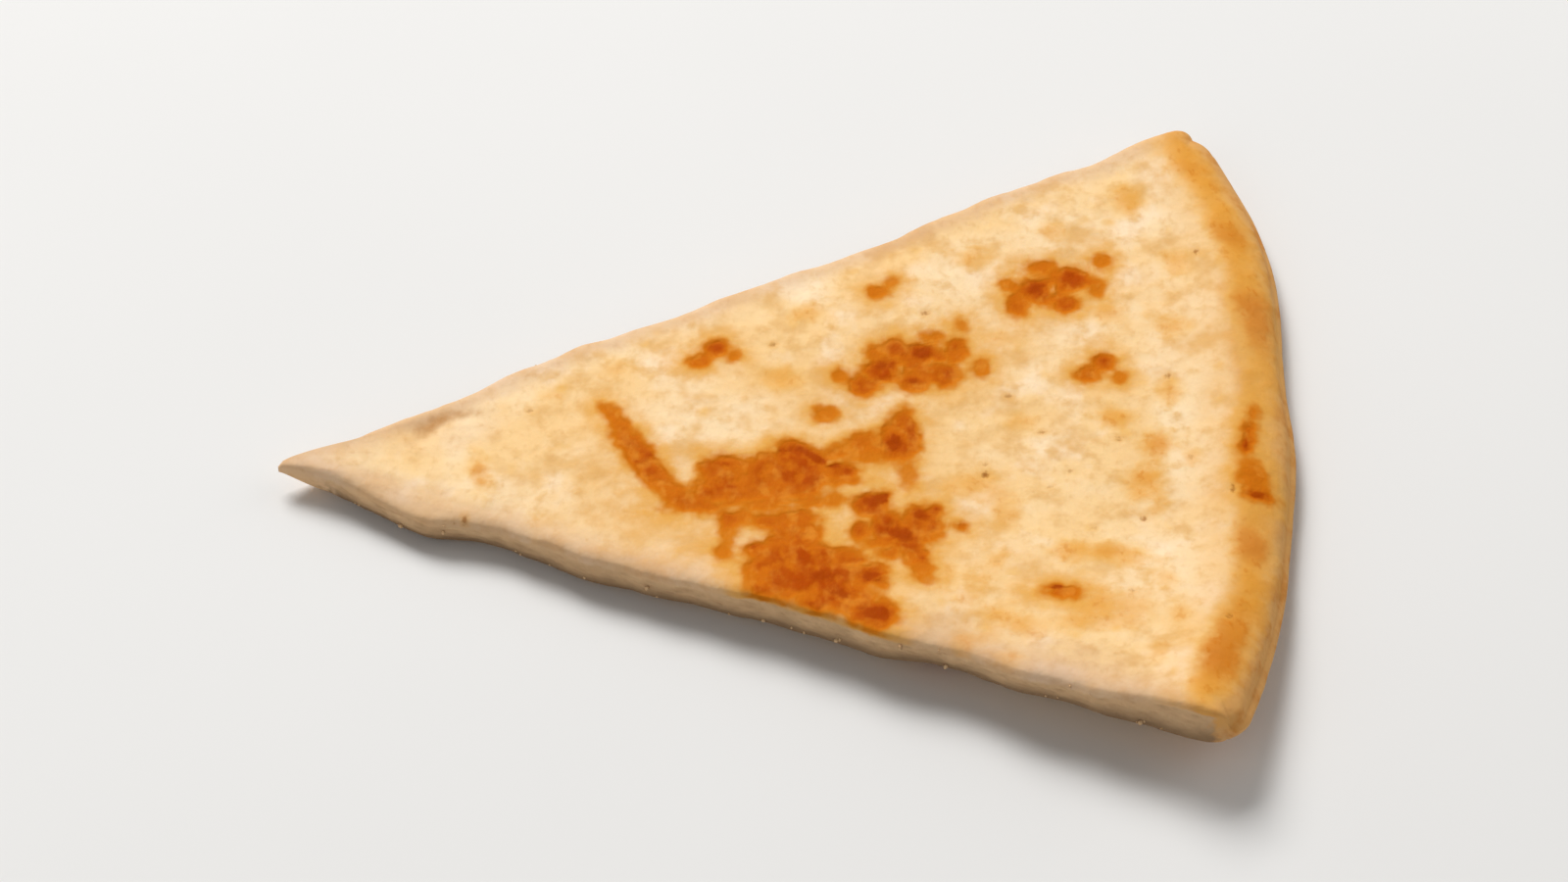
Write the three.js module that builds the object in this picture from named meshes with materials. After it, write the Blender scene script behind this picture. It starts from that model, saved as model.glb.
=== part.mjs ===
// One wedge of griddled flatbread: a thin round loaf cut through the middle, with a narrow tip,
// two knife cuts that show the crumb, and a rounded crust along the arc.
// Millimetres, +Z up, the tip towards -X and the crust towards +X. The origin is the middle of
// the wedge's box, on the surface that the wedge lies on. Places along X and Y in the constants
// are counted from the tip.
import * as THREE from 'three';
import { mergeVertices } from 'three/addons/utils/BufferGeometryUtils.js';

// Plan: a sector that starts at the tip.
const REACH = 89.8; // from the tip to the crust, on the axis
const CUT_ANGLE = THREE.MathUtils.degToRad(49.6); // between the two cuts
const TIP_WIDTH = 0.4;
const TIP_BULGE = 0.1; // how far the tip's blunt end is rounded out
const FAR_SWELL = { reach: 3.6, start: 2, end: 20 }; // extra reach between two angles, degrees
const NEAR_SWELL = { reach: 0.4, start: -14, end: -23 };
const CRUST_RIPPLES = [
  { height: 0.2, turns: 11, phase: 0.6 },
  { height: 0.12, turns: 27, phase: 2.0 },
];
const CORNER_RADIUS = 3.0; // where the crust meets each cut

// Thickness of the loaf, and how its edges are rounded: how far in on the top and how far the top
// drops there, the same for the underside's rise, and how far the wall between them stands out.
const THICKNESS_TIP = 3.5;
const THICKNESS_CRUST = 5.3;
const CUT_EDGE = { topReach: 1.2, topDrop: 0.65, baseReach: 2.2, baseRise: 0.9, bulge: 0.3 };
const CRUST_EDGE = { topReach: 4.4, topDrop: 2.5, baseReach: 4.4, baseRise: 1.1, bulge: 0.55 };
const TIP_EDGE = { topReach: 7.0, topDrop: 1.65, baseReach: 7.0, baseRise: 0.8 };

// Curl: the side of the near cut bends up from a straight line, and the tip lifts a little. The
// wedge lies flat from that line to the far cut.
const CURL_START = 5.5; // from the axis to the line, beside the tip
const CURL_SLANT = 0.055; // how much further from the axis the line is for each millimetre of x
const CURL_SLOPE = 0.313;
const CURL_SOFTNESS = 31.8;
const TIP_LIFT = 0.75;
const TIP_LIFT_REACH = 14.0;

// Relief of the top: broad swells and hollows, and the low ridge just inside the crust.
const SWELLS = [
  { x: 14, y: 5.5, spread: 4.5, rise: -0.45 },
  { x: 30, y: -3, spread: 10, rise: 0.3 },
  { x: 47, y: -12, spread: 9, rise: 0.35 },
  { x: 61, y: -26, spread: 6, rise: -0.35 },
  { x: 64, y: 2, spread: 10, rise: -0.3 },
  { x: 52, y: 14, spread: 9, rise: 0.35 },
  { x: 76, y: -20, spread: 8, rise: 0.3 },
  { x: 74, y: 22, spread: 10, rise: -0.3 },
];
const RIDGE = { inset: 5.0, spread: 2.4, rise: 0.4 };
const HOLLOW = { inset: 12.0, spread: 4.5, rise: -0.25 };
const RELIEF_START = 12.0; // from the tip to where the relief has its full height

// Waves of the two cuts, as bumps along each: out of the wedge is positive.
const NEAR_CUT_WAVES = [
  { at: 3.5, spread: 2.5, size: -0.2 },
  { at: 7.5, spread: 3, size: -0.13 },
  { at: 13.6, spread: 4, size: 1.08 },
  { at: 22, spread: 2.1, size: -0.38 },
  { at: 31.3, spread: 3.4, size: 0.4 },
  { at: 40, spread: 6, size: 0.16 },
  { at: 49, spread: 9, size: -0.58 },
  { at: 64.7, spread: 3.2, size: -0.84 },
  { at: 75.5, spread: 5, size: -0.13 },
  { at: 86, spread: 6, size: -0.33 },
];
const FAR_CUT_WAVES = [
  { at: 6, spread: 6, size: -0.8 },
  { at: 30, spread: 8, size: 0.4 },
  { at: 55, spread: 6, size: -0.45 },
  { at: 76, spread: 6, size: 0.4 },
];
const WAVE_DEPTH = 0.45; // share of the half width that a cut's waves reach into the wedge
const WAVE_START = 2.5; // from the tip to where the waves have their full height
const CUT_RIPPLE = { height: 0.1, pace: 0.9, start: 10 };

// Where the knife pressed the loaf thinner beside each cut, as bumps along it.
const NEAR_PRESSES = [
  { at: 2.3, spread: 1.9, size: 0.75 },
  { at: 12.5, spread: 4.5, size: 0.48 },
  { at: 21.5, spread: 3.5, size: 0.48 },
  { at: 31, spread: 4, size: 0.1 },
  { at: 40, spread: 5.5, size: 0.59 },
  { at: 52, spread: 5, size: 0.32 },
  { at: 63, spread: 4.5, size: 1.1 },
  { at: 74, spread: 6.5, size: 1.3 },
  { at: 86, spread: 5, size: 0.25 },
];
const FAR_PRESSES = [
  { at: 17, spread: 5, size: 0.5 },
  { at: 38, spread: 6, size: 0.8 },
  { at: 60, spread: 5, size: 1.0 },
  { at: 77, spread: 6, size: 0.7 },
];
const PRESS_REACH = 8.0; // from the cut to where the loaf has its whole thickness
const PRESS_ON_TOP = 0.4; // share that the top gives way; the underside is drawn up by the rest

// Unevenness of the open crumb on the cut faces: two slanting waves multiplied together.
const CRUMB_RELIEF = 0.16;
const CRUMB_WAVES = { along: [0.83, 0.37], up: [3.8, -2.2] };
const CRUMB_START = { tip: 8, crust: 4 }; // from each end to where the crumb is at its roughest

// Facets: closer together towards the crust and the cuts.
const SEGMENTS = { along: 46, across: 30, through: 3 };
const CROWDING_ALONG = 1.5;
const CROWDING_ACROSS = 1.6;

const BREAD = { color: 0xf3cd93, roughness: 0.82, metalness: 0.0 };

const bell = (distance, spread) => Math.exp(-((distance / spread) ** 2));
const smooth = (value) => THREE.MathUtils.smoothstep(value, 0, 1);
const crowd = (share, power) => 1 - (1 - share) ** power;
const total = (values) => values.reduce((sum, value) => sum + value, 0);

/** Share of an edge's full rounding at a distance inside the edge: 1 on it, 0 past its reach. */
function rounding(distance, reach) {
  const inside = THREE.MathUtils.clamp(1 - distance / reach, 0, 1);
  return 1 - Math.sqrt(1 - inside ** 2);
}

/** Extra reach that the loaf has gained at an angle, from the start of a swell to its end. */
function gained(swell, angle) {
  const degrees = THREE.MathUtils.radToDeg(angle);
  return swell.reach * smooth((degrees - swell.start) / (swell.end - swell.start));
}

/** Distance from the tip to the crust at an angle from the axis. */
function crustRadius(angle) {
  const ripples = CRUST_RIPPLES.map((r) => r.height * Math.sin(r.turns * angle + r.phase));
  return REACH + gained(FAR_SWELL, angle) + gained(NEAR_SWELL, angle) + total(ripples);
}

/** A place in the plain sector, with its distances from the tip, the crust and the nearer cut. */
function sectorPlace(along, across) {
  const angle = (across * CUT_ANGLE) / 2;
  const radius = crustRadius(angle);
  const fromTip = radius * along;
  const halfWidth = fromTip * Math.sin(CUT_ANGLE / 2) + TIP_WIDTH / 2;
  return {
    angle,
    fromTip,
    halfWidth,
    fromCrust: radius - fromTip,
    fromCut: halfWidth * (1 - Math.abs(across)),
    side: Math.sign(across),
    x: fromTip * Math.cos(angle) - TIP_BULGE * (1 - across ** 2) * (1 - along),
    y: fromTip * Math.sin(angle) + (across * TIP_WIDTH * (1 - along)) / 2,
  };
}

/**
 * How far an outer corner's rounding draws a point back, from the crust and from the cut: square
 * shells round the corner's centre become circles.
 */
function cornerShift(fromCrust, fromCut) {
  const p = Math.max(0, 1 - fromCrust / CORNER_RADIUS);
  const q = Math.max(0, 1 - fromCut / CORNER_RADIUS);
  const reach = Math.hypot(p, q);
  const shrink = reach > 0 ? 1 - Math.max(p, q) / reach : 0;
  return { back: p * shrink * CORNER_RADIUS, aside: q * shrink * CORNER_RADIUS };
}

/** The sum of the bumps along a cut at a distance from the tip. */
function alongCut(bumps, distance) {
  return total(bumps.map((bump) => bump.size * bell(distance - bump.at, bump.spread)));
}

/** How far a cut stands out of its straight line at a distance from the tip. */
function cutWave(waves, distance) {
  const ripple = CUT_RIPPLE.height * Math.sin(distance * CUT_RIPPLE.pace);
  const wave = alongCut(waves, distance) * smooth(distance / WAVE_START);
  return wave + ripple * smooth(distance / CUT_RIPPLE.start);
}

/** How much thinner the loaf is pressed at a place: most on the cut, and squared towards none. */
function pressed(place) {
  const presses = place.side < 0 ? NEAR_PRESSES : FAR_PRESSES;
  const reach = Math.min(PRESS_REACH, place.halfWidth);
  return alongCut(presses, place.fromTip) * Math.max(0, 1 - place.fromCut / reach) ** 2;
}

/** How far a cut face's crumb stands out, from the place along the cut and up the face. */
function crumb(place, through) {
  const phases = [0, 1].map(
    (i) => CRUMB_WAVES.along[i] * place.fromTip + CRUMB_WAVES.up[i] * through,
  );
  const relief = CRUMB_RELIEF * Math.sin(phases[0]) * Math.cos(phases[1]);
  const ends = smooth(place.fromTip / CRUMB_START.tip) * smooth(place.fromCrust / CRUMB_START.crust);
  return ends * (CUT_EDGE.bulge * (1 - through ** 2) + relief);
}

/** How far a point stands out of the plain sector: past its cut, and past the crust. */
function outward(place, across, through) {
  const waves = place.side < 0 ? NEAR_CUT_WAVES : FAR_CUT_WAVES;
  const nearness = smooth(1 - (1 - Math.abs(across)) / WAVE_DEPTH);
  const corner = cornerShift(place.fromCrust, place.fromCut);
  const onCut = place.fromCut === 0 ? crumb(place, through) : 0;
  const onCrust = place.fromCrust === 0 ? CRUST_EDGE.bulge * (1 - through ** 2) : 0;
  return {
    pastCut: nearness * cutWave(waves, place.fromTip) + onCut - corner.aside,
    pastCrust: onCrust - corner.back,
  };
}

/** Height of the underside above the surface that the wedge lies on. */
function curl(x, y) {
  const past = Math.max(0, -y - CURL_START - CURL_SLANT * x);
  const side = (CURL_SLOPE * past ** 2) / (past + CURL_SOFTNESS);
  const tip = TIP_LIFT * Math.max(0, 1 - x / TIP_LIFT_REACH) ** 2;
  return side + tip;
}

/** Thickness of the loaf, edges not yet rounded, with the relief of the top. */
function thickness(x, y, place) {
  const share = place.fromTip / (place.fromTip + place.fromCrust);
  const plain = THREE.MathUtils.lerp(THICKNESS_TIP, THICKNESS_CRUST, share);
  const swells = SWELLS.map((s) => s.rise * bell(Math.hypot(x - s.x, y - s.y), s.spread));
  const rims = [RIDGE, HOLLOW].map((r) => r.rise * bell(place.fromCrust - r.inset, r.spread));
  const relief = (total(swells) + total(rims)) * smooth(place.fromTip / RELIEF_START);
  return plain + relief;
}

/** How far the rounded and pressed edges lower the top and raise the underside at a place. */
function edgeRounding(place) {
  const edges = [
    [CUT_EDGE, place.fromCut, place.halfWidth],
    [CRUST_EDGE, place.fromCrust, Infinity],
    [TIP_EDGE, place.fromTip, Infinity],
  ];
  const drops = edges.map(([edge, distance, most]) => {
    return edge.topDrop * rounding(distance, Math.min(edge.topReach, most));
  });
  const rises = edges.map(([edge, distance, most]) => {
    return edge.baseRise * rounding(distance, Math.min(edge.baseReach, most));
  });
  const loss = pressed(place);
  return {
    drop: Math.hypot(...drops) + PRESS_ON_TOP * loss,
    rise: Math.hypot(...rises) + (1 - PRESS_ON_TOP) * loss,
  };
}

/**
 * Carries a point of a unit box to the wedge: `along` runs from the tip (0) to the crust (1),
 * `across` from the near cut (-1) to the far cut (1), `through` from the base (-1) to the top (1).
 */
function carry(along, across, through) {
  const place = sectorPlace(along, across);
  const out = outward(place, across, through);
  const x = place.x - Math.sin(CUT_ANGLE / 2) * out.pastCut + Math.cos(place.angle) * out.pastCrust;
  const aside = place.side * Math.cos(CUT_ANGLE / 2) * out.pastCut;
  const y = place.y + aside + Math.sin(place.angle) * out.pastCrust;
  const edge = edgeRounding(place);
  const low = curl(x, y) + edge.rise;
  const high = curl(x, y) + thickness(x, y, place) - edge.drop;
  return [x, y, THREE.MathUtils.lerp(low, high, (through + 1) / 2)];
}

/** The wedge's closed surface, made by carrying every point of a divided unit box. */
function wedgeGeometry() {
  const { along: lengthwise, across: sideways, through: upwards } = SEGMENTS;
  const box = new THREE.BoxGeometry(1, 1, 1, lengthwise, sideways, upwards);
  box.deleteAttribute('normal');
  box.deleteAttribute('uv');
  const surface = mergeVertices(box, 1e-6);
  const points = surface.getAttribute('position');
  for (let i = 0; i < points.count; i += 1) {
    const along = crowd(points.getX(i) + 0.5, CROWDING_ALONG);
    const side = points.getY(i) * 2;
    const across = Math.sign(side) * crowd(Math.abs(side), CROWDING_ACROSS);
    const through = points.getZ(i) * 2;
    points.setXYZ(i, ...carry(along, across, through));
  }
  surface.computeBoundingBox();
  const centre = surface.boundingBox.getCenter(new THREE.Vector3());
  surface.translate(-centre.x, -centre.y, -surface.boundingBox.min.z);
  surface.computeVertexNormals();
  return surface;
}

const pitaWedge = new THREE.Mesh(wedgeGeometry(), new THREE.MeshStandardMaterial(BREAD));
pitaWedge.name = 'pita_wedge';

const bread = new THREE.Group();
bread.add(pitaWedge);

export default bread;
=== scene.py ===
"""One wedge of griddled flatbread, shaped and dressed for rendering.

The wedge is a sector of a thin round loaf: a narrow tip, two knife cuts that show the crumb, a
rounded crust along the arc, browned patches on both faces, and a near side that curls up.
Shapes are worked out in millimetres in the wedge's own plan, where x runs from the tip to the
crust along the middle line and y runs to the far cut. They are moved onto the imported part, in
metres, when a mesh is made.
"""
import functools
import itertools
import logging
import math
from dataclasses import dataclass
from dataclasses import field
from enum import Enum

import bpy
import numpy as np
from mathutils import Matrix
from mathutils import Vector


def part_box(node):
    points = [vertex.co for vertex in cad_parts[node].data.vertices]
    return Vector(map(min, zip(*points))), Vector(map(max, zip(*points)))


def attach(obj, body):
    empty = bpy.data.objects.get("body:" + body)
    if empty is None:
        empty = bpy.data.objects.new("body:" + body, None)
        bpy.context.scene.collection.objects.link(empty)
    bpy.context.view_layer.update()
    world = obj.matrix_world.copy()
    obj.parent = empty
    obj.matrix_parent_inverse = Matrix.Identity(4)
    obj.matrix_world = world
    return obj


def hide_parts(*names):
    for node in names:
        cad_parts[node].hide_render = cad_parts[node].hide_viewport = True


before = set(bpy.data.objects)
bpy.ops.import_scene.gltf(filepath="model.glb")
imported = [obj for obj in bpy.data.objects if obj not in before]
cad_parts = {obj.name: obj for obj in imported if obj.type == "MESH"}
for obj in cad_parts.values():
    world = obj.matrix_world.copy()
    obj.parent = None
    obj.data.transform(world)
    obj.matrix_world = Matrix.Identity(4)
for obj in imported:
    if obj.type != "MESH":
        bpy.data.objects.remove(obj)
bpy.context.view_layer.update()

NODE = "pita_wedge"
BODY = "root"
METRES = 0.001  # one millimetre
TOUCHING = 1e-9  # a point this near to a face lies on it
MIXERS = np.array([73856093, 19349663, 83492791])  # large odd numbers that mix a cell's place

Socket = bpy.types.NodeSocket
Entry = Socket | float  # what a node takes: a link or a plain number
Colour = tuple[int, int, int]  # red, green and blue as displayed, from 0 to 255

log = logging.getLogger("wedge")


def bell(distance: np.ndarray, spread: float) -> np.ndarray:
    """A bell curve: e to the power of minus the square of distance over spread."""
    return np.exp(-((distance / spread) ** 2))


def smooth(value: np.ndarray) -> np.ndarray:
    """A smooth step from 0 to 1: three times the square less twice the cube."""
    share = np.clip(value, 0.0, 1.0)
    return share * share * (3.0 - 2.0 * share)


def crowd(share: np.ndarray, power: float) -> np.ndarray:
    """Shares from 0 to 1 that lie closer together near 1."""
    return 1.0 - (1.0 - share) ** power


def rounding(distance: np.ndarray, reach: np.ndarray) -> np.ndarray:
    """Share of an edge's full rounding: a quarter circle, 1 on the edge and 0 past its reach."""
    inside = np.clip(1.0 - distance / reach, 0.0, 1.0)
    return 1.0 - np.sqrt(1.0 - inside**2)


@dataclass(frozen=True)
class Ramp:
    """A smooth step from `least` at `low` to `top` at `high`, which may lie below `low`."""

    low: float
    high: float
    top: float = 1.0
    least: float = 0.0

    def of(self, value: np.ndarray) -> np.ndarray:
        """The step's height at each value."""
        share = smooth((value - self.low) / (self.high - self.low))
        return self.least + (self.top - self.least) * share


def each(kind: type, *rows: tuple[float, ...]) -> tuple:
    """Makes one of a kind from each row of its sizes."""
    return tuple(kind(*row) for row in rows)


def linear_colour(colour: Colour) -> tuple[float, float, float, float]:
    """Turns a display colour into the linear colour that a shader takes.

    Args:
        colour: red, green and blue from 0 to 255.

    Returns:
        Linear red, green, blue and an alpha of 1.
    """
    shares = np.array(colour) / 255.0
    low = shares / 12.92
    high = ((shares + 0.055) / 1.055) ** 2.4
    red, green, blue = np.where(shares <= 0.04045, low, high)
    return float(red), float(green), float(blue), 1.0


@dataclass(frozen=True)
class Grain:
    """Seeded gradient noise in space, for uneven surfaces."""

    seed: int
    directions: int = 4096
    gain: float = 1.6
    layer_shift: float = 17.3
    layer_gain: float = 1.5
    pore_least: float = 0.12
    pore_spread: float = 0.6
    pore_power: float = 1.5

    def row(self, cell: np.ndarray) -> np.ndarray:
        """Which row of a seeded table each cell reads: its place, mixed by large numbers."""
        mixed = cell @ MIXERS[: cell.shape[-1]]
        return (mixed ^ (mixed >> 9)) % self.directions

    def at(self, points: np.ndarray, size: float) -> np.ndarray:
        """Noise of about -1 to 1 whose lumps are about `size` across.

        Each corner of a lattice of cubes has a seeded direction. The value is the sum, over the
        eight corners round a point, of the direction times the way from the corner, weighted by
        a smooth step along each axis.

        Args:
            points: an array whose last axis holds x, y and z.
            size: the lattice's pitch, in the unit of the points.

        Returns:
            One value for each point.
        """
        chance = np.random.default_rng(self.seed)
        slopes = chance.normal(size=(self.directions, 3))
        slopes /= np.linalg.norm(slopes, axis=1, keepdims=True)
        scaled = points / size
        cell = np.floor(scaled).astype(np.int64)
        local = scaled - cell
        weight = local**3 * (local * (local * 6.0 - 15.0) + 10.0)
        total = np.zeros(points.shape[:-1])
        for corner in itertools.product((0, 1), repeat=3):
            offset = np.array(corner)
            slope = slopes[self.row(cell + offset)]
            share = np.prod(np.where(offset == 1, weight, 1.0 - weight), axis=-1)
            total += share * ((local - offset) * slope).sum(axis=-1)
        return total * self.gain

    def layered(self, points: np.ndarray, size: float, layers: int) -> np.ndarray:
        """Noise in layers, each half the size and half the height of the last.

        Args:
            points: an array whose last axis holds x, y and z.
            size: the size of the largest lumps.
            layers: how many layers are added.

        Returns:
            One value for each point, of about -1 to 1.
        """
        shift = self.layer_shift
        values = [self.at(points + shift * n, size / 2**n) / 2**n for n in range(layers)]
        return sum(values) / self.layer_gain

    def pores(self, places: np.ndarray, pitch: tuple[float, float]) -> np.ndarray:
        """Round hollows scattered over a sheet, one to each cell of a grid.

        Each cell holds a seeded middle and a seeded width. The value is the largest, over the
        nine cells round a point, of a smooth step of one less the distance over the width.

        Args:
            places: an array whose last axis holds two coordinates on the sheet.
            pitch: the cell's two sizes.

        Returns:
            One value for each place: 0 outside the hollows and up to 1 in the middle of one.
        """
        chance = np.random.default_rng(self.seed)
        table = chance.uniform(size=(self.directions, 3))
        scaled = places / np.array(pitch)
        cell = np.floor(scaled).astype(np.int64)
        deepest = np.zeros(places.shape[:-1])
        for step in itertools.product((-1, 0, 1), repeat=2):
            near = cell + np.array(step)
            seeded = table[self.row(near)]
            away = np.linalg.norm(scaled - near - seeded[..., :2], axis=-1)
            width = self.pore_least + self.pore_spread * seeded[..., 2] ** self.pore_power
            deepest = np.maximum(deepest, smooth(1.0 - away / width))
        return deepest


@dataclass(frozen=True)
class Swell:
    """A broad rise of the top, or a hollow where the rise is below 0."""

    x: float
    y: float
    spread: float
    rise: float

    def height(self, x: np.ndarray, y: np.ndarray) -> np.ndarray:
        """A bell curve of the distance from the swell's middle."""
        return self.rise * bell(np.hypot(x - self.x, y - self.y), self.spread)


@dataclass(frozen=True)
class CutBump:
    """A bump along a cut: where it is, how far it spreads, and its size, which may be below 0."""

    at: float
    spread: float
    size: float

    def height(self, distance: np.ndarray) -> np.ndarray:
        """A bell curve of the distance along the cut."""
        return self.size * bell(distance - self.at, self.spread)


@dataclass(frozen=True)
class Edge:
    """How an edge is rounded.

    The top drops by `top_drop` over `top_reach`, and the underside rises by `base_rise` over
    `base_reach`. Between them the wall stands out by `bulge`.
    """

    top_reach: float
    top_drop: float
    base_reach: float
    base_rise: float
    bulge: float = 0.0


@dataclass(frozen=True)
class ArcSwell:
    """Extra reach of the crust, gained between two angles in degrees."""

    reach: float
    start: float
    end: float

    def gained(self, angle: np.ndarray) -> np.ndarray:
        """A smooth step of the angle between the start and the end."""
        return self.reach * smooth((np.degrees(angle) - self.start) / (self.end - self.start))


@dataclass(frozen=True)
class Lattice:
    """The shell of a divided box, whose points are carried to the wedge."""

    along: int = 240
    across: int = 176
    through: int = 16
    crowding_along: float = 1.12
    crowding_across: float = 1.2

    def shell(self) -> tuple[np.ndarray, np.ndarray]:
        """Points and faces of the shell.

        On each of the six sides the faces run round their corners so that they point outwards.
        Corners that sides share become one point.

        Returns:
            The lattice place of each point, and the four points of each face.
        """
        counts = (self.along, self.across, self.through)
        sides = []
        for axis, end in itertools.product(range(3), (0, 1)):
            first, second = (axis + 1) % 3, (axis + 2) % 3
            a, b = np.meshgrid(np.arange(counts[first]), np.arange(counts[second]), indexing="ij")
            corners = ((0, 0), (1, 0), (1, 1), (0, 1))[:: 1 if end else -1]
            side = np.zeros((a.size, 4, 3), dtype=np.int64)
            side[..., axis] = end * counts[axis]
            for n, (da, db) in enumerate(corners):
                side[:, n, first] = (a + da).ravel()
                side[:, n, second] = (b + db).ravel()
            sides.append(side)
        shape = tuple(count + 1 for count in counts)
        places = np.concatenate(sides)
        numbers = np.ravel_multi_index(tuple(np.moveaxis(places, -1, 0)), shape)
        kept, faces = np.unique(numbers, return_inverse=True)
        return np.stack(np.unravel_index(kept, shape), axis=-1), faces.reshape(-1, 4)

    def shares(self, places: np.ndarray) -> tuple[np.ndarray, np.ndarray, np.ndarray]:
        """Lattice places as shares of the wedge.

        Args:
            places: the lattice place of each point.

        Returns:
            Along from 0 to 1, across from -1 to 1 and through from -1 to 1.
        """
        along = crowd(places[:, 0] / self.along, self.crowding_along)
        sideways = places[:, 1] / self.across * 2.0 - 1.0
        across = np.sign(sideways) * crowd(np.abs(sideways), self.crowding_across)
        return along, across, places[:, 2] / self.through * 2.0 - 1.0


@dataclass
class Places:
    """Where surface points lie in the plain sector, as whole arrays, in millimetres."""

    across: np.ndarray
    through: np.ndarray
    angle: np.ndarray
    from_tip: np.ndarray
    from_crust: np.ndarray
    from_cut: np.ndarray
    half_width: np.ndarray
    side: np.ndarray
    x: np.ndarray
    y: np.ndarray

    @property
    def on_cut(self) -> np.ndarray:
        """True on the two cut faces."""
        return self.from_cut < TOUCHING

    @property
    def on_crust(self) -> np.ndarray:
        """True on the crust's wall."""
        return self.from_crust < TOUCHING


@dataclass
class Surface:
    """The wedge's finished surface: points in its own plan, and what the finish reads."""

    points: np.ndarray
    faces: np.ndarray
    places: Places
    below_top: np.ndarray
    above_base: np.ndarray
    pore: np.ndarray


@dataclass
class WedgeForm:
    """The form of the wedge, from the same named sizes as the solid."""

    reach: float = 89.8
    cut_angle: float = math.radians(49.6)
    tip_width: float = 0.4
    tip_bulge: float = 0.1
    arc_swells: tuple[ArcSwell, ...] = (ArcSwell(3.6, 2.0, 20.0), ArcSwell(0.4, -14.0, -23.0))
    arc_ripples: tuple[tuple[float, float, float], ...] = ((0.2, 11.0, 0.6), (0.12, 27.0, 2.0))
    corner_radius: float = 3.0
    thickness_tip: float = 3.5
    thickness_crust: float = 5.3
    cut_edge: Edge = Edge(1.2, 0.65, 2.2, 0.9, 0.3)
    crust_edge: Edge = Edge(4.4, 2.5, 4.4, 1.1, 0.55)
    tip_edge: Edge = Edge(7.0, 1.65, 7.0, 0.8)
    curl_start: float = 5.5
    curl_slant: float = 0.055
    curl_slope: float = 0.313
    curl_softness: float = 31.8
    tip_lift: float = 0.75
    tip_lift_reach: float = 14.0
    swells: tuple[Swell, ...] = each(
        Swell,
        (14.0, 5.5, 4.5, -0.45), (30.0, -3.0, 10.0, 0.3), (47.0, -12.0, 9.0, 0.35),
        (61.0, -26.0, 6.0, -0.35), (64.0, 2.0, 10.0, -0.3), (52.0, 14.0, 9.0, 0.35),
        (76.0, -20.0, 8.0, 0.3), (74.0, 22.0, 10.0, -0.3),
    )
    rim_waves: tuple[tuple[float, float, float], ...] = ((5.0, 2.4, 0.4), (12.0, 4.5, -0.25))
    relief_start: float = 12.0
    near_cut: tuple[CutBump, ...] = each(
        CutBump,
        (3.5, 2.5, -0.2), (7.5, 3.0, -0.13), (13.6, 4.0, 1.08), (22.0, 2.1, -0.38), (31.3, 3.4, 0.4),
        (40.0, 6.0, 0.16), (49.0, 9.0, -0.58), (64.7, 3.2, -0.84), (75.5, 5.0, -0.13),
        (86.0, 6.0, -0.33),
    )
    far_cut: tuple[CutBump, ...] = each(
        CutBump,
        (6.0, 6.0, -0.8), (30.0, 8.0, 0.4), (55.0, 6.0, -0.45), (76.0, 6.0, 0.4),
    )
    near_presses: tuple[CutBump, ...] = each(
        CutBump,
        (2.3, 1.9, 0.75), (12.5, 4.5, 0.48), (21.5, 3.5, 0.48), (31.0, 4.0, 0.1), (40.0, 5.5, 0.59),
        (52.0, 5.0, 0.32), (63.0, 4.5, 1.1), (74.0, 6.5, 1.3), (86.0, 5.0, 0.25),
    )
    far_presses: tuple[CutBump, ...] = each(
        CutBump,
        (17.0, 5.0, 0.5), (38.0, 6.0, 0.8), (60.0, 5.0, 1.0), (77.0, 6.0, 0.7),
    )
    press_reach: float = 8.0
    press_on_top: float = 0.4
    wave_depth: float = 0.45
    wave_start: float = 2.5
    ripple: tuple[float, float, float] = (0.1, 0.9, 10.0)
    crumb_start: tuple[float, float] = (8.0, 4.0)

    def crust_radius(self, angle: np.ndarray) -> np.ndarray:
        """Distance from the tip to the crust: the reach, its swells and two sine ripples."""
        ripples = sum(h * np.sin(turns * angle + phase) for h, turns, phase in self.arc_ripples)
        return self.reach + sum(swell.gained(angle) for swell in self.arc_swells) + ripples

    def places(self, along: np.ndarray, across: np.ndarray, through: np.ndarray) -> Places:
        """Places in the plain sector.

        The angle is the share across times half the cut angle, and the distance from the tip is
        the share along times the crust's radius. The tip is widened and rounded a little.

        Args:
            along: 0 at the tip and 1 at the crust.
            across: -1 at the near cut and 1 at the far cut.
            through: -1 at the underside and 1 at the top.

        Returns:
            The places, with their distances from the tip, the crust and the nearer cut.
        """
        angle = across * self.cut_angle / 2.0
        radius = self.crust_radius(angle)
        from_tip = radius * along
        half_width = from_tip * math.sin(self.cut_angle / 2.0) + self.tip_width / 2.0
        rounded = self.tip_bulge * (1.0 - across**2) * (1.0 - along)
        widened = across * self.tip_width * (1.0 - along) / 2.0
        return Places(
            across=across,
            through=through,
            angle=angle,
            from_tip=from_tip,
            from_crust=radius - from_tip,
            from_cut=half_width * (1.0 - np.abs(across)),
            half_width=half_width,
            side=np.sign(across),
            x=from_tip * np.cos(angle) - rounded,
            y=from_tip * np.sin(angle) + widened,
        )

    def corner_shift(self, at: Places) -> tuple[np.ndarray, np.ndarray]:
        """How far an outer corner's rounding draws points back.

        Inside the corner radius, squares round the corner's middle shrink to circles.

        Args:
            at: the places.

        Returns:
            The way back from the crust, and from the cut.
        """
        p = np.maximum(0.0, 1.0 - at.from_crust / self.corner_radius)
        q = np.maximum(0.0, 1.0 - at.from_cut / self.corner_radius)
        reach = np.hypot(p, q)
        shrink = np.where(reach > 0.0, 1.0 - np.maximum(p, q) / np.maximum(reach, TOUCHING), 0.0)
        return p * shrink * self.corner_radius, q * shrink * self.corner_radius

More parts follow.
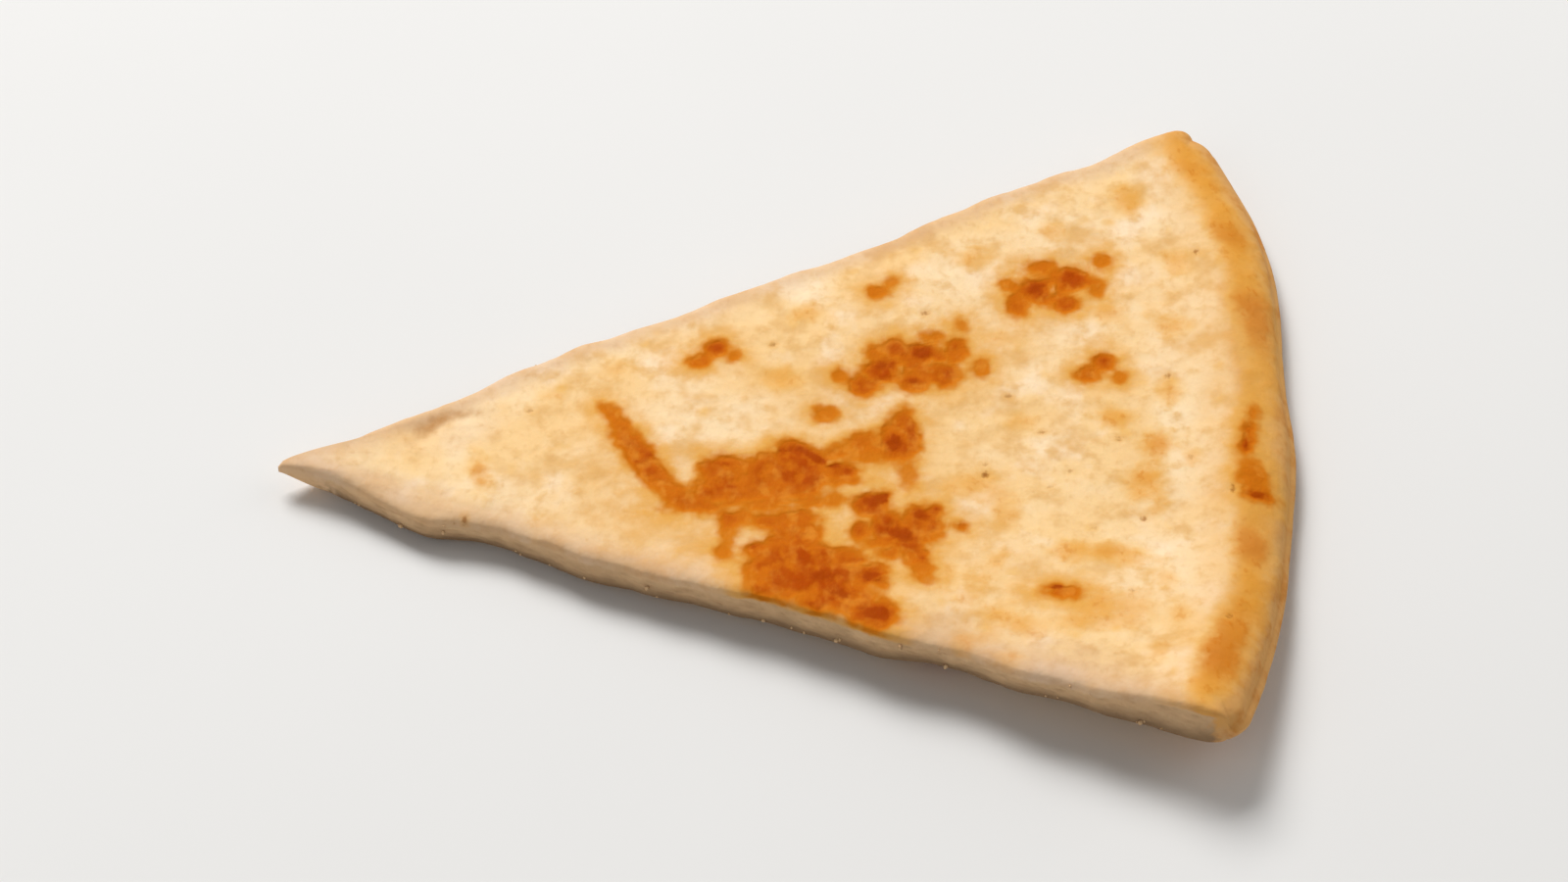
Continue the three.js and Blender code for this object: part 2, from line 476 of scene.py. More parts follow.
    def cut_wave(self, at: Places) -> np.ndarray:
        """How far the nearer cut stands out of its straight line: its bumps and a ripple.

        Args:
            at: the places.

        Returns:
            Distances in millimetres.
        """
        height, pace, start = self.ripple
        ripple = height * np.sin(at.from_tip * pace) * smooth(at.from_tip / start)
        wave = self.along_cut(at, self.near_cut, self.far_cut)
        return wave * smooth(at.from_tip / self.wave_start) + ripple

    def along_cut(
        self, at: Places, near: tuple[CutBump, ...], far: tuple[CutBump, ...]
    ) -> np.ndarray:
        """The sum of the bumps of the cut on whose side each place lies.

        Args:
            at: the places.
            near: the near cut's bumps.
            far: the far cut's bumps.

        Returns:
            Distances in millimetres.
        """
        near_sum = sum(bump.height(at.from_tip) for bump in near)
        far_sum = sum(bump.height(at.from_tip) for bump in far)
        return np.where(at.side < 0, near_sum, far_sum)

    def pressed(self, at: Places) -> tuple[np.ndarray, np.ndarray]:
        """How much thinner the knife pressed the loaf.

        The bumps along the cut are multiplied by the square of what is left of their reach into
        the wedge.

        Args:
            at: the places.

        Returns:
            How far the top is pressed down, and how far the underside is drawn up.
        """
        reach = np.minimum(self.press_reach, at.half_width)
        inward = np.maximum(0.0, 1.0 - at.from_cut / reach) ** 2
        loss = self.along_cut(at, self.near_presses, self.far_presses) * inward
        return self.press_on_top * loss, (1.0 - self.press_on_top) * loss

    def curl(self, x: np.ndarray, y: np.ndarray) -> np.ndarray:
        """Height of the underside.

        Past a slanting line the near side bends up, first as a square and then as a slope. The
        tip lifts by the square of what is left of its reach.

        Args:
            x: places along the middle line.
            y: places towards the far cut.

        Returns:
            The height above the surface that the wedge lies on.
        """
        past = np.maximum(0.0, -y - self.curl_start - self.curl_slant * x)
        side = self.curl_slope * past**2 / (past + self.curl_softness)
        return side + self.tip_lift * np.maximum(0.0, 1.0 - x / self.tip_lift_reach) ** 2

    def thickness(self, x: np.ndarray, y: np.ndarray, at: Places) -> np.ndarray:
        """Thickness before the edges are rounded: a slope from tip to crust, and the relief.

        Args:
            x: places along the middle line.
            y: places towards the far cut.
            at: the places.

        Returns:
            Distances in millimetres.
        """
        share = at.from_tip / (at.from_tip + at.from_crust)
        plain = self.thickness_tip + (self.thickness_crust - self.thickness_tip) * share
        swells = sum(swell.height(x, y) for swell in self.swells)
        rims = sum(rise * bell(at.from_crust - inset, w) for inset, w, rise in self.rim_waves)
        relief = (swells + rims) * smooth(at.from_tip / self.relief_start)
        return plain + relief

    def edge_rounding(self, at: Places) -> tuple[np.ndarray, np.ndarray]:
        """How far the edges lower the top and raise the underside.

        Each edge gives its drop times its share of rounding. The three join as the root of the
        sum of their squares, and what the knife pressed is added.

        Args:
            at: the places.

        Returns:
            The top's drop and the underside's rise.
        """
        cut, crust, tip = self.cut_edge, self.crust_edge, self.tip_edge
        drops = (
            cut.top_drop * rounding(at.from_cut, np.minimum(cut.top_reach, at.half_width)),
            crust.top_drop * rounding(at.from_crust, crust.top_reach),
            tip.top_drop * rounding(at.from_tip, tip.top_reach),
        )
        rises = (
            cut.base_rise * rounding(at.from_cut, np.minimum(cut.base_reach, at.half_width)),
            crust.base_rise * rounding(at.from_crust, crust.base_reach),
            tip.base_rise * rounding(at.from_tip, tip.base_reach),
        )
        pressed_down, drawn_up = self.pressed(at)
        drop = np.sqrt(sum(part**2 for part in drops)) + pressed_down
        return drop, np.sqrt(sum(part**2 for part in rises)) + drawn_up

    def carry(
        self, at: Places, past_cut: np.ndarray, past_crust: np.ndarray
    ) -> tuple[np.ndarray, np.ndarray]:
        """Plan of the surface points.

        A point moves out square to its cut by `past_cut`, and away from the tip by `past_crust`.

        Args:
            at: the places.
            past_cut: how far each point stands out of its cut's straight line.
            past_crust: how far each point stands out of the arc.

        Returns:
            The points' x and y.
        """
        slope, run = math.sin(self.cut_angle / 2.0), math.cos(self.cut_angle / 2.0)
        x = at.x - slope * past_cut + np.cos(at.angle) * past_crust
        return x, at.y + at.side * run * past_cut + np.sin(at.angle) * past_crust

    def nearness(self, at: Places) -> np.ndarray:
        """Share of a cut's waves that a place takes: 1 on the cut, 0 past the wave depth."""
        return smooth(1.0 - (1.0 - np.abs(at.across)) / self.wave_depth)

    def bulge(self, at: Places, edge: Edge) -> np.ndarray:
        """A wall's bulge: its height times one less the square of the share through."""
        return edge.bulge * (1.0 - at.through**2)


@dataclass(frozen=True)
class Patch:
    """One spot: its middle, half sizes, darkness from 0 to 1 (0 for a gap), and turn in degrees."""

    x: float
    y: float
    wide: float
    long: float
    tone: float = 0.0
    turn: float = 0.0

    def depth(self, x: np.ndarray, y: np.ndarray) -> np.ndarray:
        """How far inside the spot a place lies, below 0 outside.

        It is the smaller half size times one less the scaled distance from the middle.

        Args:
            x: places along the middle line.
            y: places towards the far cut.

        Returns:
            Depths in millimetres.
        """
        run, rise = math.cos(math.radians(self.turn)), math.sin(math.radians(self.turn))
        u = ((x - self.x) * run + (y - self.y) * rise) / self.wide
        v = ((y - self.y) * run - (x - self.x) * rise) / self.long
        return (1.0 - np.hypot(u, v)) * min(self.wide, self.long)

    def hollow(self, x: np.ndarray, y: np.ndarray) -> np.ndarray:
        """A round hollow of depth 1 in the middle, which runs out at twice the half sizes."""
        return smooth((self.depth(x, y) / min(self.wide, self.long) + 1.0) / 2.0)


def spots(*rows: tuple[float, ...]) -> tuple[Patch, ...]:
    """Makes a spot from each row of (x, y, half size, half size, darkness, turn)."""
    return each(Patch, *rows)


def marks(patches: tuple[Patch, ...], x: np.ndarray, y: np.ndarray) -> np.ndarray:
    """The sum of soft round marks, each as deep as its spot's darkness."""
    return sum(patch.tone * patch.hollow(x, y) for patch in patches)


@dataclass(frozen=True)
class Streak:
    """A browned band along a path of (x, y, half width, darkness)."""

    path: tuple[tuple[float, float, float, float], ...]

    def spots(self, step: float = 0.6) -> list[Patch]:
        """Round spots along the band, a step apart, so that they join up.

        Args:
            step: the distance between two spots.

        Returns:
            The spots.
        """
        knots = np.array(self.path)
        legs = np.hypot(*np.diff(knots[:, :2], axis=0).T)
        reached = np.concatenate(([0.0], np.cumsum(legs)))
        stops = np.linspace(0.0, reached[-1], max(2, round(reached[-1] / step) + 1))
        rows = np.stack([np.interp(stops, reached, knots[:, n]) for n in range(4)], axis=-1)
        return [Patch(x, y, wide, wide, tone) for x, y, wide, tone in rows.tolist()]


@dataclass
class Toasting:
    """A pattern of browned spots and bands, with pale gaps cut out of it."""

    patches: tuple[Patch, ...]
    streaks: tuple[Streak, ...] = ()
    gaps: tuple[Patch, ...] = ()
    softness: float = 0.3
    far_outside: float = -40.0

    def fields(self, x: np.ndarray, y: np.ndarray) -> tuple[np.ndarray, np.ndarray]:
        """Depth inside the pattern and darkness, at each place.

        The depth is a soft maximum of the spots' depths: softness times the logarithm of the sum
        of e to the power of depth over softness. The darkness is the mean of the spots' own,
        weighted by the same powers. A gap limits the depth to the distance from its edge.

        Args:
            x: places along the middle line.
            y: places towards the far cut.

        Returns:
            Depths in millimetres and darkness from 0 to 1.
        """
        browned = [*self.patches, *(spot for band in self.streaks for spot in band.spots())]
        deepest = np.full(x.shape, self.far_outside)
        for spot in browned:
            deepest = np.maximum(deepest, spot.depth(x, y))
        weights = np.zeros(x.shape)
        tones = np.zeros(x.shape)
        for spot in browned:
            weight = np.exp((spot.depth(x, y) - deepest) / self.softness)
            weights += weight
            tones += weight * spot.tone
        depth = deepest + self.softness * np.log(weights)
        for gap in self.gaps:
            depth = np.minimum(depth, -gap.depth(x, y))
        return depth, tones / weights


# Browned spots of the top, as (x, y, half sizes, darkness, turn).
TOP_BROWNING = Toasting(
    patches=spots(
        (38.8, -3.9, 1.3, 1.5, 0.8), (39.9, -3.1, 1.6, 1.4, 0.7), (38.0, -3.1, 0.6, 0.9, 0.9),
        (40.3, -5.0, 1.9, 1.5, 0.95), (38.5, -5.9, 1.6, 1.3, 0.8), (40.9, -6.4, 2.3, 0.93, 0.75),
        (43.3, -3.7, 1.5, 1.9, 0.8), (45.9, -1.9, 1.8, 1.5, 0.95), (47.1, -3.1, 1.6, 1.6, 1.0),
        (44.6, -4.5, 2.6, 1.7, 0.85), (47.1, -5.1, 1.4, 1.3, 0.9), (49.5, -4.0, 1.4, 0.9, 0.95),
        (50.6, -4.2, 0.89, 0.9, 0.95), (44.1, -6.2, 2.6, 0.93, 0.75), (46.6, -6.1, 1.2, 0.93, 0.8),
        (45.2, -0.7, 0.6, 0.5, 0.7), (39.9, -9.2, 0.75, 1.2, 0.9), (39.8, -11.2, 0.5, 1.0, 0.45),
        (39.4, -13.5, 0.65, 0.8, 0.5), (42.2, -13.5, 1.0, 1.1, 0.8), (43.6, -9.9, 1.4, 0.97, 0.75),
        (45.8, -10.1, 1.8, 1.3, 0.85), (44.9, -11.9, 1.5, 1.3, 0.8), (46.5, -12.2, 1.5, 1.6, 0.9),
        (46.9, -10.7, 0.6, 1.2, 0.9), (44.4, -14.4, 1.6, 1.9, 0.85), (46.8, -14.6, 2.2, 1.9, 0.95),
        (49.1, -14.9, 1.6, 1.2, 0.8), (50.8, -15.1, 0.75, 1.0, 0.7), (42.8, -15.8, 1.2, 1.9, 0.8),
        (45.0, -17.2, 2.6, 2.1, 0.85), (43.0, -18.0, 1.2, 1.2, 0.9), (47.8, -17.3, 2.6, 2.2, 1.0),
        (50.2, -18.0, 1.9, 1.9, 0.8), (52.4, -16.6, 1.1, 0.9, 1.0), (48.3, -19.8, 2.3, 1.4, 0.95),
        (50.6, -20.6, 2.1, 1.5, 0.85), (52.2, -22.0, 1.9, 1.5, 0.8), (52.9, -21.8, 0.6, 1.4, 0.85),
        (52.8, -23.1, 1.2, 0.84, 0.9), (51.8, -0.8, 0.99, 1.2, 0.65), (50.3, -1.3, 0.55, 0.47, 0.45),
        (55.5, -0.3, 1.65, 2.6, 1.0), (55.7, 2.1, 0.82, 1.1, 0.8), (55.9, -4.6, 0.45, 1.1, 0.4),
        (49.2, -7.5, 0.5, 0.4, 0.45), (52.3, -8.3, 1.5, 1.5, 1.0), (53.6, -7.4, 0.55, 0.5, 0.95),
        (51.4, -11.5, 0.75, 0.9, 0.75), (53.7, -11.1, 1.4, 2.2, 0.95), (55.2, -11.7, 1.2, 1.7, 1.0),
        (56.6, -10.6, 1.3, 1.6, 0.85), (57.8, -11.0, 0.85, 1.7, 0.75), (58.0, -9.5, 0.4, 0.5, 0.6),
        (56.2, -9.4, 0.5, 0.5, 0.6), (55.5, -13.4, 1.0, 1.2, 0.95), (56.1, -14.5, 1.1, 1.3, 0.85),
        (56.6, -16.5, 0.9, 1.2, 0.55), (57.0, -17.7, 0.45, 0.5, 0.35), (60.2, -11.2, 0.5, 0.5, 0.6),
        (37.4, -8.0, 1.5, 0.4, 0.7), (41.2, -9.3, 0.6, 0.8, 0.6), (44.8, -19.2, 0.8, 0.5, 0.7),
        (49.7, -5.3, 1.2, 0.4, 0.6), (42.9, -7.8, 2.0, 0.5, 0.6), (47.0, -7.9, 1.4, 0.4, 0.6),
        (49.3, -2.1, 0.8, 0.7, 0.75), (53.1, -1.3, 0.4, 0.9, 0.6), (52.1, -2.2, 1.2, 0.7, 0.5),
        (54.1, -2.7, 0.45, 0.35, 0.6), (52.4, -13.0, 0.9, 0.45, 0.55), (53.9, -14.4, 0.9, 0.7, 0.65),
        (52.9, -18.3, 0.6, 0.6, 0.65), (41.7, -16.6, 0.4, 1.0, 0.6), (68.4, -20.1, 1.0, 0.55, 0.75),
        (68.1, -19.5, 0.55, 0.3, 1.0), (69.7, -20.4, 0.4, 0.4, 0.6), (85.8, -3.0, 0.5, 0.9, 0.85),
        (86.3, -1.0, 0.4, 1.7, 0.8, -12.0), (86.2, -6.9, 1.2, 1.9, 0.55), (86.5, -8.8, 1.2, 0.6, 0.8),
        (48.7, 3.0, 0.9, 0.8, 0.5), (50.2, 7.6, 0.6, 0.6, 0.5), (52.2, 6.2, 1.3, 1.2, 0.8),
        (54.4, 8.0, 2.1, 1.5, 0.95), (53.4, 10.3, 0.7, 0.8, 0.6), (56.8, 6.6, 1.3, 1.2, 0.8),
        (57.6, 9.3, 2.2, 1.7, 1.0), (59.6, 7.4, 1.3, 1.5, 0.85), (55.2, 10.8, 1.0, 1.1, 0.8),
        (60.8, 10.4, 1.0, 1.3, 0.75), (58.9, 12.0, 0.9, 0.6, 0.5), (62.9, 8.2, 0.6, 0.8, 0.5),
        (61.4, 13.6, 0.5, 0.5, 0.4), (66.6, 15.7, 0.9, 1.3, 0.7), (68.9, 17.5, 2.2, 1.6, 0.95),
        (71.0, 16.0, 1.2, 1.2, 0.8), (71.6, 19.0, 1.9, 1.5, 0.9), (69.0, 20.6, 1.2, 0.7, 0.6),
        (74.0, 17.8, 0.6, 0.8, 0.5), (74.6, 21.4, 0.7, 0.8, 0.5), (65.8, 18.5, 0.6, 0.6, 0.5),
        (72.4, 6.9, 1.0, 1.0, 0.7), (74.0, 8.3, 0.9, 1.1, 0.75), (75.3, 6.5, 0.5, 0.5, 0.45),
        (37.6, 10.3, 1.0, 0.8, 0.7), (39.2, 11.7, 1.1, 1.1, 0.85), (40.7, 10.6, 0.5, 0.5, 0.5),
        (54.0, 17.8, 0.8, 0.8, 0.55), (55.3, 19.0, 0.5, 0.5, 0.4),
    ),
    streaks=(
        Streak(
            (
                (28.9, 4.9, 0.3, 0.55), (29.8, 3.8, 0.5, 0.6), (30.4, 2.5, 0.65, 0.6),
                (30.9, 0.9, 0.7, 0.65), (32.1, -1.1, 0.95, 0.9), (32.8, -2.9, 0.95, 0.85),
                (34.0, -4.7, 0.85, 0.75), (35.3, -6.2, 0.8, 0.7), (36.6, -7.4, 0.75, 0.75),
                (38.2, -7.7, 0.55, 0.8),
            )
        ),
    ),
    gaps=spots(
        (40.3, -8.15, 1.0, 0.44), (42.5, -11.7, 1.1, 0.6), (40.7, -12.3, 0.58, 1.2),
        (45.4, -8.0, 1.2, 0.24), (47.7, -10.0, 0.22, 1.1), (49.1, -9.6, 1.1, 1.6),
        (49.4, -12.3, 1.3, 0.79), (52.0, -14.4, 0.7, 0.3), (57.5, -13.8, 0.62, 0.41),
        (50.2, -2.5, 0.6, 0.3), (55.7, 8.3, 0.3, 0.5), (58.9, 8.9, 0.5, 0.2), (70.0, 17.9, 0.25, 0.5),
    ),
    softness=0.25,
)

TOP_MARKS = {
    # Darkest blots inside the browning.
    "blots": spots(
        (32.3, -2.1, 0.8, 0.6, 0.6), (33.0, -1.2, 1.0, 0.35, 0.7, -35.0), (39.4, -2.5, 1.4, 0.45, 0.6),
        (39.2, -5.0, 1.2, 0.8, 0.4), (43.3, -5.2, 1.2, 0.6, 0.5), (45.2, -1.3, 1.2, 0.5, 0.7),
        (47.3, -1.9, 1.3, 0.5, 0.9, -40.0), (49.0, -3.1, 1.0, 0.45, 0.8, -30.0),
        (50.6, -4.1, 0.6, 0.5, 0.7), (45.3, -3.9, 2.0, 1.0, 0.5), (54.8, -0.7, 0.9, 1.3, 0.8),
        (56.5, 0.5, 0.4, 1.1, 0.6), (52.6, -7.7, 1.3, 0.9, 0.9), (54.0, -7.5, 0.7, 0.5, 0.6),
        (51.2, -11.2, 0.6, 0.6, 0.6), (54.2, -11.3, 1.2, 1.1, 0.7), (55.5, -12.5, 1.0, 1.0, 0.7),
        (56.8, -9.4, 0.8, 0.7, 0.7), (58.3, -9.0, 0.6, 0.5, 0.7), (57.6, -10.8, 0.6, 1.0, 0.4),
        (60.3, -11.0, 0.6, 0.5, 0.6), (56.7, -15.2, 0.7, 0.6, 0.6), (42.1, -13.0, 0.9, 0.4, 0.8),
        (46.1, -13.0, 1.0, 0.7, 0.5), (47.7, -16.9, 2.2, 1.6, 0.6), (51.1, -15.1, 0.8, 0.35, 0.6),
        (52.3, -17.4, 1.1, 0.8, 0.9), (49.6, -19.4, 1.4, 0.9, 0.6), (51.8, -21.7, 1.4, 0.9, 0.8),
        (53.1, -22.3, 0.8, 0.8, 0.7), (46.9, -20.4, 1.4, 0.5, 0.5), (68.0, -19.4, 0.8, 0.25, 0.9),
        (85.8, -2.8, 0.3, 0.8, 0.7), (86.5, -8.8, 0.9, 0.4, 0.9), (54.3, 8.6, 1.1, 0.8, 0.7),
        (56.8, 6.8, 1.0, 0.6, 0.6), (57.6, 10.1, 1.1, 0.9, 0.9), (59.8, 8.0, 0.8, 0.7, 0.6),
        (68.4, 18.0, 1.1, 0.9, 0.8), (71.8, 19.8, 0.9, 0.7, 0.7), (71.0, 16.4, 0.7, 0.5, 0.5),
        (39.2, 11.9, 0.8, 0.6, 0.7), (73.8, 8.6, 0.7, 0.6, 0.6),
    ),
    # Broad places where the skin is warmer.
    "warmth": spots(
        (33.5, -10.5, 5.0, 3.4, 0.75, -25.0), (28.6, -3.0, 2.2, 4.0, 0.5, 25.0),
        (36.8, -13.2, 2.4, 2.0, 0.5), (71.0, -15.2, 3.4, 1.4, 0.5), (71.6, -22.4, 3.8, 2.0, 0.55),
        (76.6, -4.0, 1.8, 5.0, 0.35), (62.4, -5.6, 2.6, 1.8, 0.35), (62.6, -15.4, 3.0, 2.4, 0.4),
        (78.6, -25.0, 1.8, 4.0, 0.4, 15.0), (45.0, 6.0, 4.0, 3.0, 0.4),
        (66.0, 12.0, 6.0, 2.4, 0.4, 20.0), (80.0, 14.0, 2.0, 6.0, 0.4),
    ),
    # Broad greyer places: duller tone at the tip, painted shade beside the fold and by the near cut.
    "dull_and_shade": spots(
        (2.6, 0.0, 3.2, 1.6, 0.2), (9.0, 2.2, 4.0, 1.8, 0.25, 20.0), (16.5, 2.6, 3.2, 1.6, 0.35, 20.0),
        (67.0, -28.0, 8.0, 2.0, 0.5, -25.0), (57.8, -22.6, 2.2, 2.0, 0.3), (60.0, -25.6, 0.6, 1.1, 0.5),
    ),
    # The soft fold beside the tip: painted shade in the fold, over a faint browned smear.
    "crease_shade": spots(
        (12.4, 2.7, 1.3, 0.7, 0.35, 58.0), (13.6, 4.1, 1.4, 0.8, 0.75, 52.0),
        (15.3, 5.1, 1.4, 0.75, 0.6, 8.0), (17.3, 5.2, 1.6, 0.6, 0.4, -4.0),
    ),
}

# Lighter tan spots of the top, and the browned band along the crust.
TOP_TAN = Toasting(
    patches=spots(
        (52.8, -14.4, 1.8, 0.84, 0.5), (58.8, -16.9, 0.82, 1.1, 0.35), (59.9, -6.3, 0.69, 0.75, 0.3),
        (62.2, -6.0, 0.82, 0.84, 0.4), (43.2, -1.0, 0.96, 0.84, 0.55), (40.3, -17.4, 1.2, 1.5, 0.35),
        (35.6, -9.0, 1.2, 0.93, 0.35), (33.5, -6.6, 1.6, 0.84, 0.3), (74.4, 1.6, 1.4, 1.2, 0.6),
        (78.1, -1.9, 1.1, 1.5, 0.7), (76.7, -6.2, 1.3, 1.7, 0.65), (75.9, -7.8, 0.91, 0.83, 0.5),
        (77.4, -9.8, 0.61, 0.73, 0.4), (69.3, -14.9, 1.4, 1.1, 0.5), (73.4, -15.0, 1.7, 1.0, 0.7),
        (75.0, -16.0, 0.91, 0.73, 0.4), (63.7, -7.9, 1.4, 1.0, 0.35), (61.1, -6.1, 1.5, 0.93, 0.4),
        (63.0, -15.8, 0.69, 0.93, 0.4), (68.5, -20.2, 1.8, 1.1, 0.7), (71.7, -21.5, 1.3, 1.7, 0.65),
        (69.5, -24.2, 1.7, 0.93, 0.45), (72.7, -23.9, 1.7, 1.2, 0.35), (62.7, -22.3, 1.1, 0.83, 0.55),
        (64.7, -24.0, 1.4, 0.83, 0.45), (59.9, -25.4, 0.9, 1.3, 0.3), (63.9, -28.1, 0.76, 0.83, 0.3),
        (77.6, -18.6, 0.91, 1.2, 0.4), (78.6, -23.8, 0.91, 1.0, 0.35), (64.2, -10.0, 1.4, 1.7, 0.3),
        (61.6, -17.9, 0.61, 0.52, 0.35), (60.5, -20.2, 0.91, 1.0, 0.35), (74.4, -22.3, 1.7, 2.1, 0.3),
        (76.3, -28.3, 1.1, 1.2, 0.25), (80.9, -3.7, 0.69, 0.93, 0.35), (65.8, -25.2, 0.91, 0.83, 0.25),
        (62.4, -24.8, 0.91, 1.0, 0.25), (17.9, -2.3, 0.6, 1.4, 0.75, 8.0), (23.6, -9.0, 0.9, 0.7, 0.2),
        (45.0, 7.6, 1.7, 1.1, 0.5), (80.4, 12.6, 1.3, 1.0, 0.45), (62.6, 22.0, 1.5, 1.0, 0.4),
        (77.4, 29.0, 1.3, 1.6, 0.45), (30.0, 9.4, 1.2, 0.8, 0.35), (47.6, 15.4, 1.6, 1.1, 0.4),
        (66.4, 1.6, 1.2, 0.8, 0.35), (79.6, 4.4, 0.9, 1.3, 0.45), (65.0, 11.6, 1.4, 0.9, 0.35),
        (74.6, 14.6, 1.6, 1.1, 0.45), (81.4, 20.6, 1.1, 1.4, 0.4), (59.8, 13.8, 0.9, 0.7, 0.3),
        (70.4, 25.4, 1.3, 1.0, 0.35), (24.4, 6.6, 0.9, 0.6, 0.3),
    ),
    streaks=(
        Streak(
            (
                (79.6, -34.6, 0.5, 0.5), (80.4, -32.6, 1.0, 0.7), (81.2, -30.4, 1.3, 0.85),
                (82.3, -27.4, 0.9, 0.8), (83.6, -24.4, 0.9, 0.75), (84.8, -21.6, 0.4, 0.6),
                (85.1, -18.8, 0.6, 0.55), (85.6, -15.8, 0.9, 0.85), (85.4, -13.2, 0.8, 0.8),
                (86.0, -11.0, 0.5, 0.4), (86.5, -8.8, 1.2, 0.95), (86.2, -6.6, 1.3, 0.9),
                (86.0, -4.6, 0.7, 0.6), (85.8, -3.2, 0.6, 0.95), (86.4, -1.0, 0.5, 0.9),
                (86.9, 1.2, 0.4, 0.8), (87.6, 4.0, 0.5, 0.4), (88.3, 7.6, 0.6, 0.6),
                (88.2, 11.2, 0.9, 0.8), (87.8, 15.0, 1.2, 0.85), (87.5, 19.0, 0.7, 0.45),
                (86.6, 23.6, 1.1, 0.8), (85.2, 28.4, 0.6, 0.45), (83.4, 32.6, 1.0, 0.75),
                (81.9, 35.6, 0.7, 0.4),
            )
        ),
    ),
    softness=0.5,
)

# Browned clusters of the underside.
BASE_BROWNING = Toasting(
    patches=spots(
        (26.0, 3.2, 2.6, 1.6, 0.8, 25.0), (29.6, 5.0, 2.0, 1.5, 0.9), (24.2, 0.6, 1.2, 0.9, 0.55),
        (38.0, -9.0, 2.9, 2.0, 0.9, -20.0), (41.4, -11.6, 2.2, 1.7, 0.95), (44.6, -10.2, 1.7, 1.3, 0.7),
        (36.0, -12.4, 1.3, 0.9, 0.5), (50.0, 7.0, 3.4, 2.2, 0.95, 35.0), (53.6, 10.2, 2.4, 2.0, 0.9),
        (47.0, 9.8, 1.6, 1.2, 0.6), (55.6, 6.4, 1.5, 1.2, 0.7), (60.0, -18.6, 3.0, 2.2, 0.95, -35.0),
        (64.0, -21.8, 2.6, 1.8, 0.9), (66.8, -18.8, 1.6, 1.3, 0.65), (58.0, -22.4, 1.4, 1.1, 0.6),
        (68.6, 1.6, 2.8, 1.9, 0.9, 15.0), (72.4, 3.4, 2.0, 1.6, 0.85), (66.0, -2.2, 1.3, 1.0, 0.55),
        (72.0, 22.6, 2.6, 1.8, 0.85, 40.0), (75.0, 25.8, 1.8, 1.5, 0.8),
        (78.6, -14.2, 1.7, 2.6, 0.8, 10.0), (80.2, 9.6, 1.5, 2.2, 0.75), (57.0, -6.0, 1.2, 0.9, 0.5),
        (33.0, -3.6, 1.0, 0.8, 0.45),
    ),
    gaps=spots((51.4, 8.8, 0.9, 0.6), (61.8, -19.8, 0.8, 0.6)),
)

# Tan spots of the underside, and its band along the crust.
BASE_TAN = Toasting(
    patches=spots(
        (15.0, -0.6, 2.0, 1.2, 0.3), (31.0, 9.0, 2.2, 1.4, 0.35), (44.0, 2.0, 3.4, 2.2, 0.35, 30.0),
        (52.0, -13.0, 3.2, 2.0, 0.35, -25.0), (62.0, 14.8, 3.0, 2.2, 0.4), (64.0, -9.0, 3.4, 2.2, 0.35),
        (75.0, -26.0, 3.0, 2.4, 0.4), (76.0, -4.0, 2.2, 2.8, 0.35), (79.0, 18.0, 2.4, 3.0, 0.4),
    ),
    streaks=(
        Streak(
            (
                (79.6, -33.4, 1.6, 0.5), (83.6, -22.0, 1.8, 0.65), (86.0, -8.0, 1.5, 0.5),
                (86.6, 4.0, 1.7, 0.65), (86.8, 16.0, 1.5, 0.5), (85.6, 26.0, 1.8, 0.65),
                (82.6, 33.6, 1.4, 0.45),
            )
        ),
    ),
    softness=0.5,
)

# Small dark pits of the top.
PITS = Toasting(
    patches=spots(
        (62.7, -4.9, 0.35, 0.4, 1.0), (62.7, -3.6, 0.25, 0.3, 0.5), (67.9, 0.0, 0.35, 0.25, 0.6),
        (74.8, -1.1, 0.35, 0.25, 0.7), (76.3, -10.9, 0.3, 0.35, 0.8), (68.3, -6.7, 0.3, 0.25, 0.4),
        (70.2, -5.0, 0.3, 0.25, 0.4), (74.7, -20.1, 0.3, 0.25, 0.5), (80.9, -3.9, 0.25, 0.4, 0.35),
        (71.9, -12.0, 0.25, 0.25, 0.35), (63.2, -15.8, 0.25, 0.3, 0.35), (82.7, -24.4, 0.35, 0.25, 1.0),
        (84.3, -8.2, 0.25, 0.5, 0.9), (16.7, -7.8, 0.25, 0.35, 0.8), (65.2, 4.6, 0.35, 0.3, 0.6),
        (79.6, 6.4, 0.3, 0.35, 0.7), (44.3, 11.8, 0.3, 0.3, 0.6), (58.2, 15.0, 0.35, 0.3, 0.8),
        (83.2, 21.6, 0.3, 0.35, 0.8), (22.4, 4.8, 0.3, 0.25, 0.5),
    ),
    softness=0.08,
)


@dataclass(frozen=True)
class Unevenness:
    """Layered noise: its seed, its height, the size of its largest lumps and its layers."""

    seed: int
    height: float
    size: float
    layers: int = 3

    def over(self, places: np.ndarray) -> np.ndarray:
        """The noise times its height, at each place."""
        return self.height * Grain(self.seed).layered(places, self.size, self.layers)


@dataclass(frozen=True)
class Pores:
    """Scattered round hollows: their seed, the two sizes of their cells, and their depth."""

    seed: int
    pitch: tuple[float, float]
    depth: float = 1.0

    def over(self, places: np.ndarray) -> np.ndarray:
        """How deep the hollows are at each place of a sheet."""
        return self.depth * Grain(self.seed).pores(places, self.pitch)


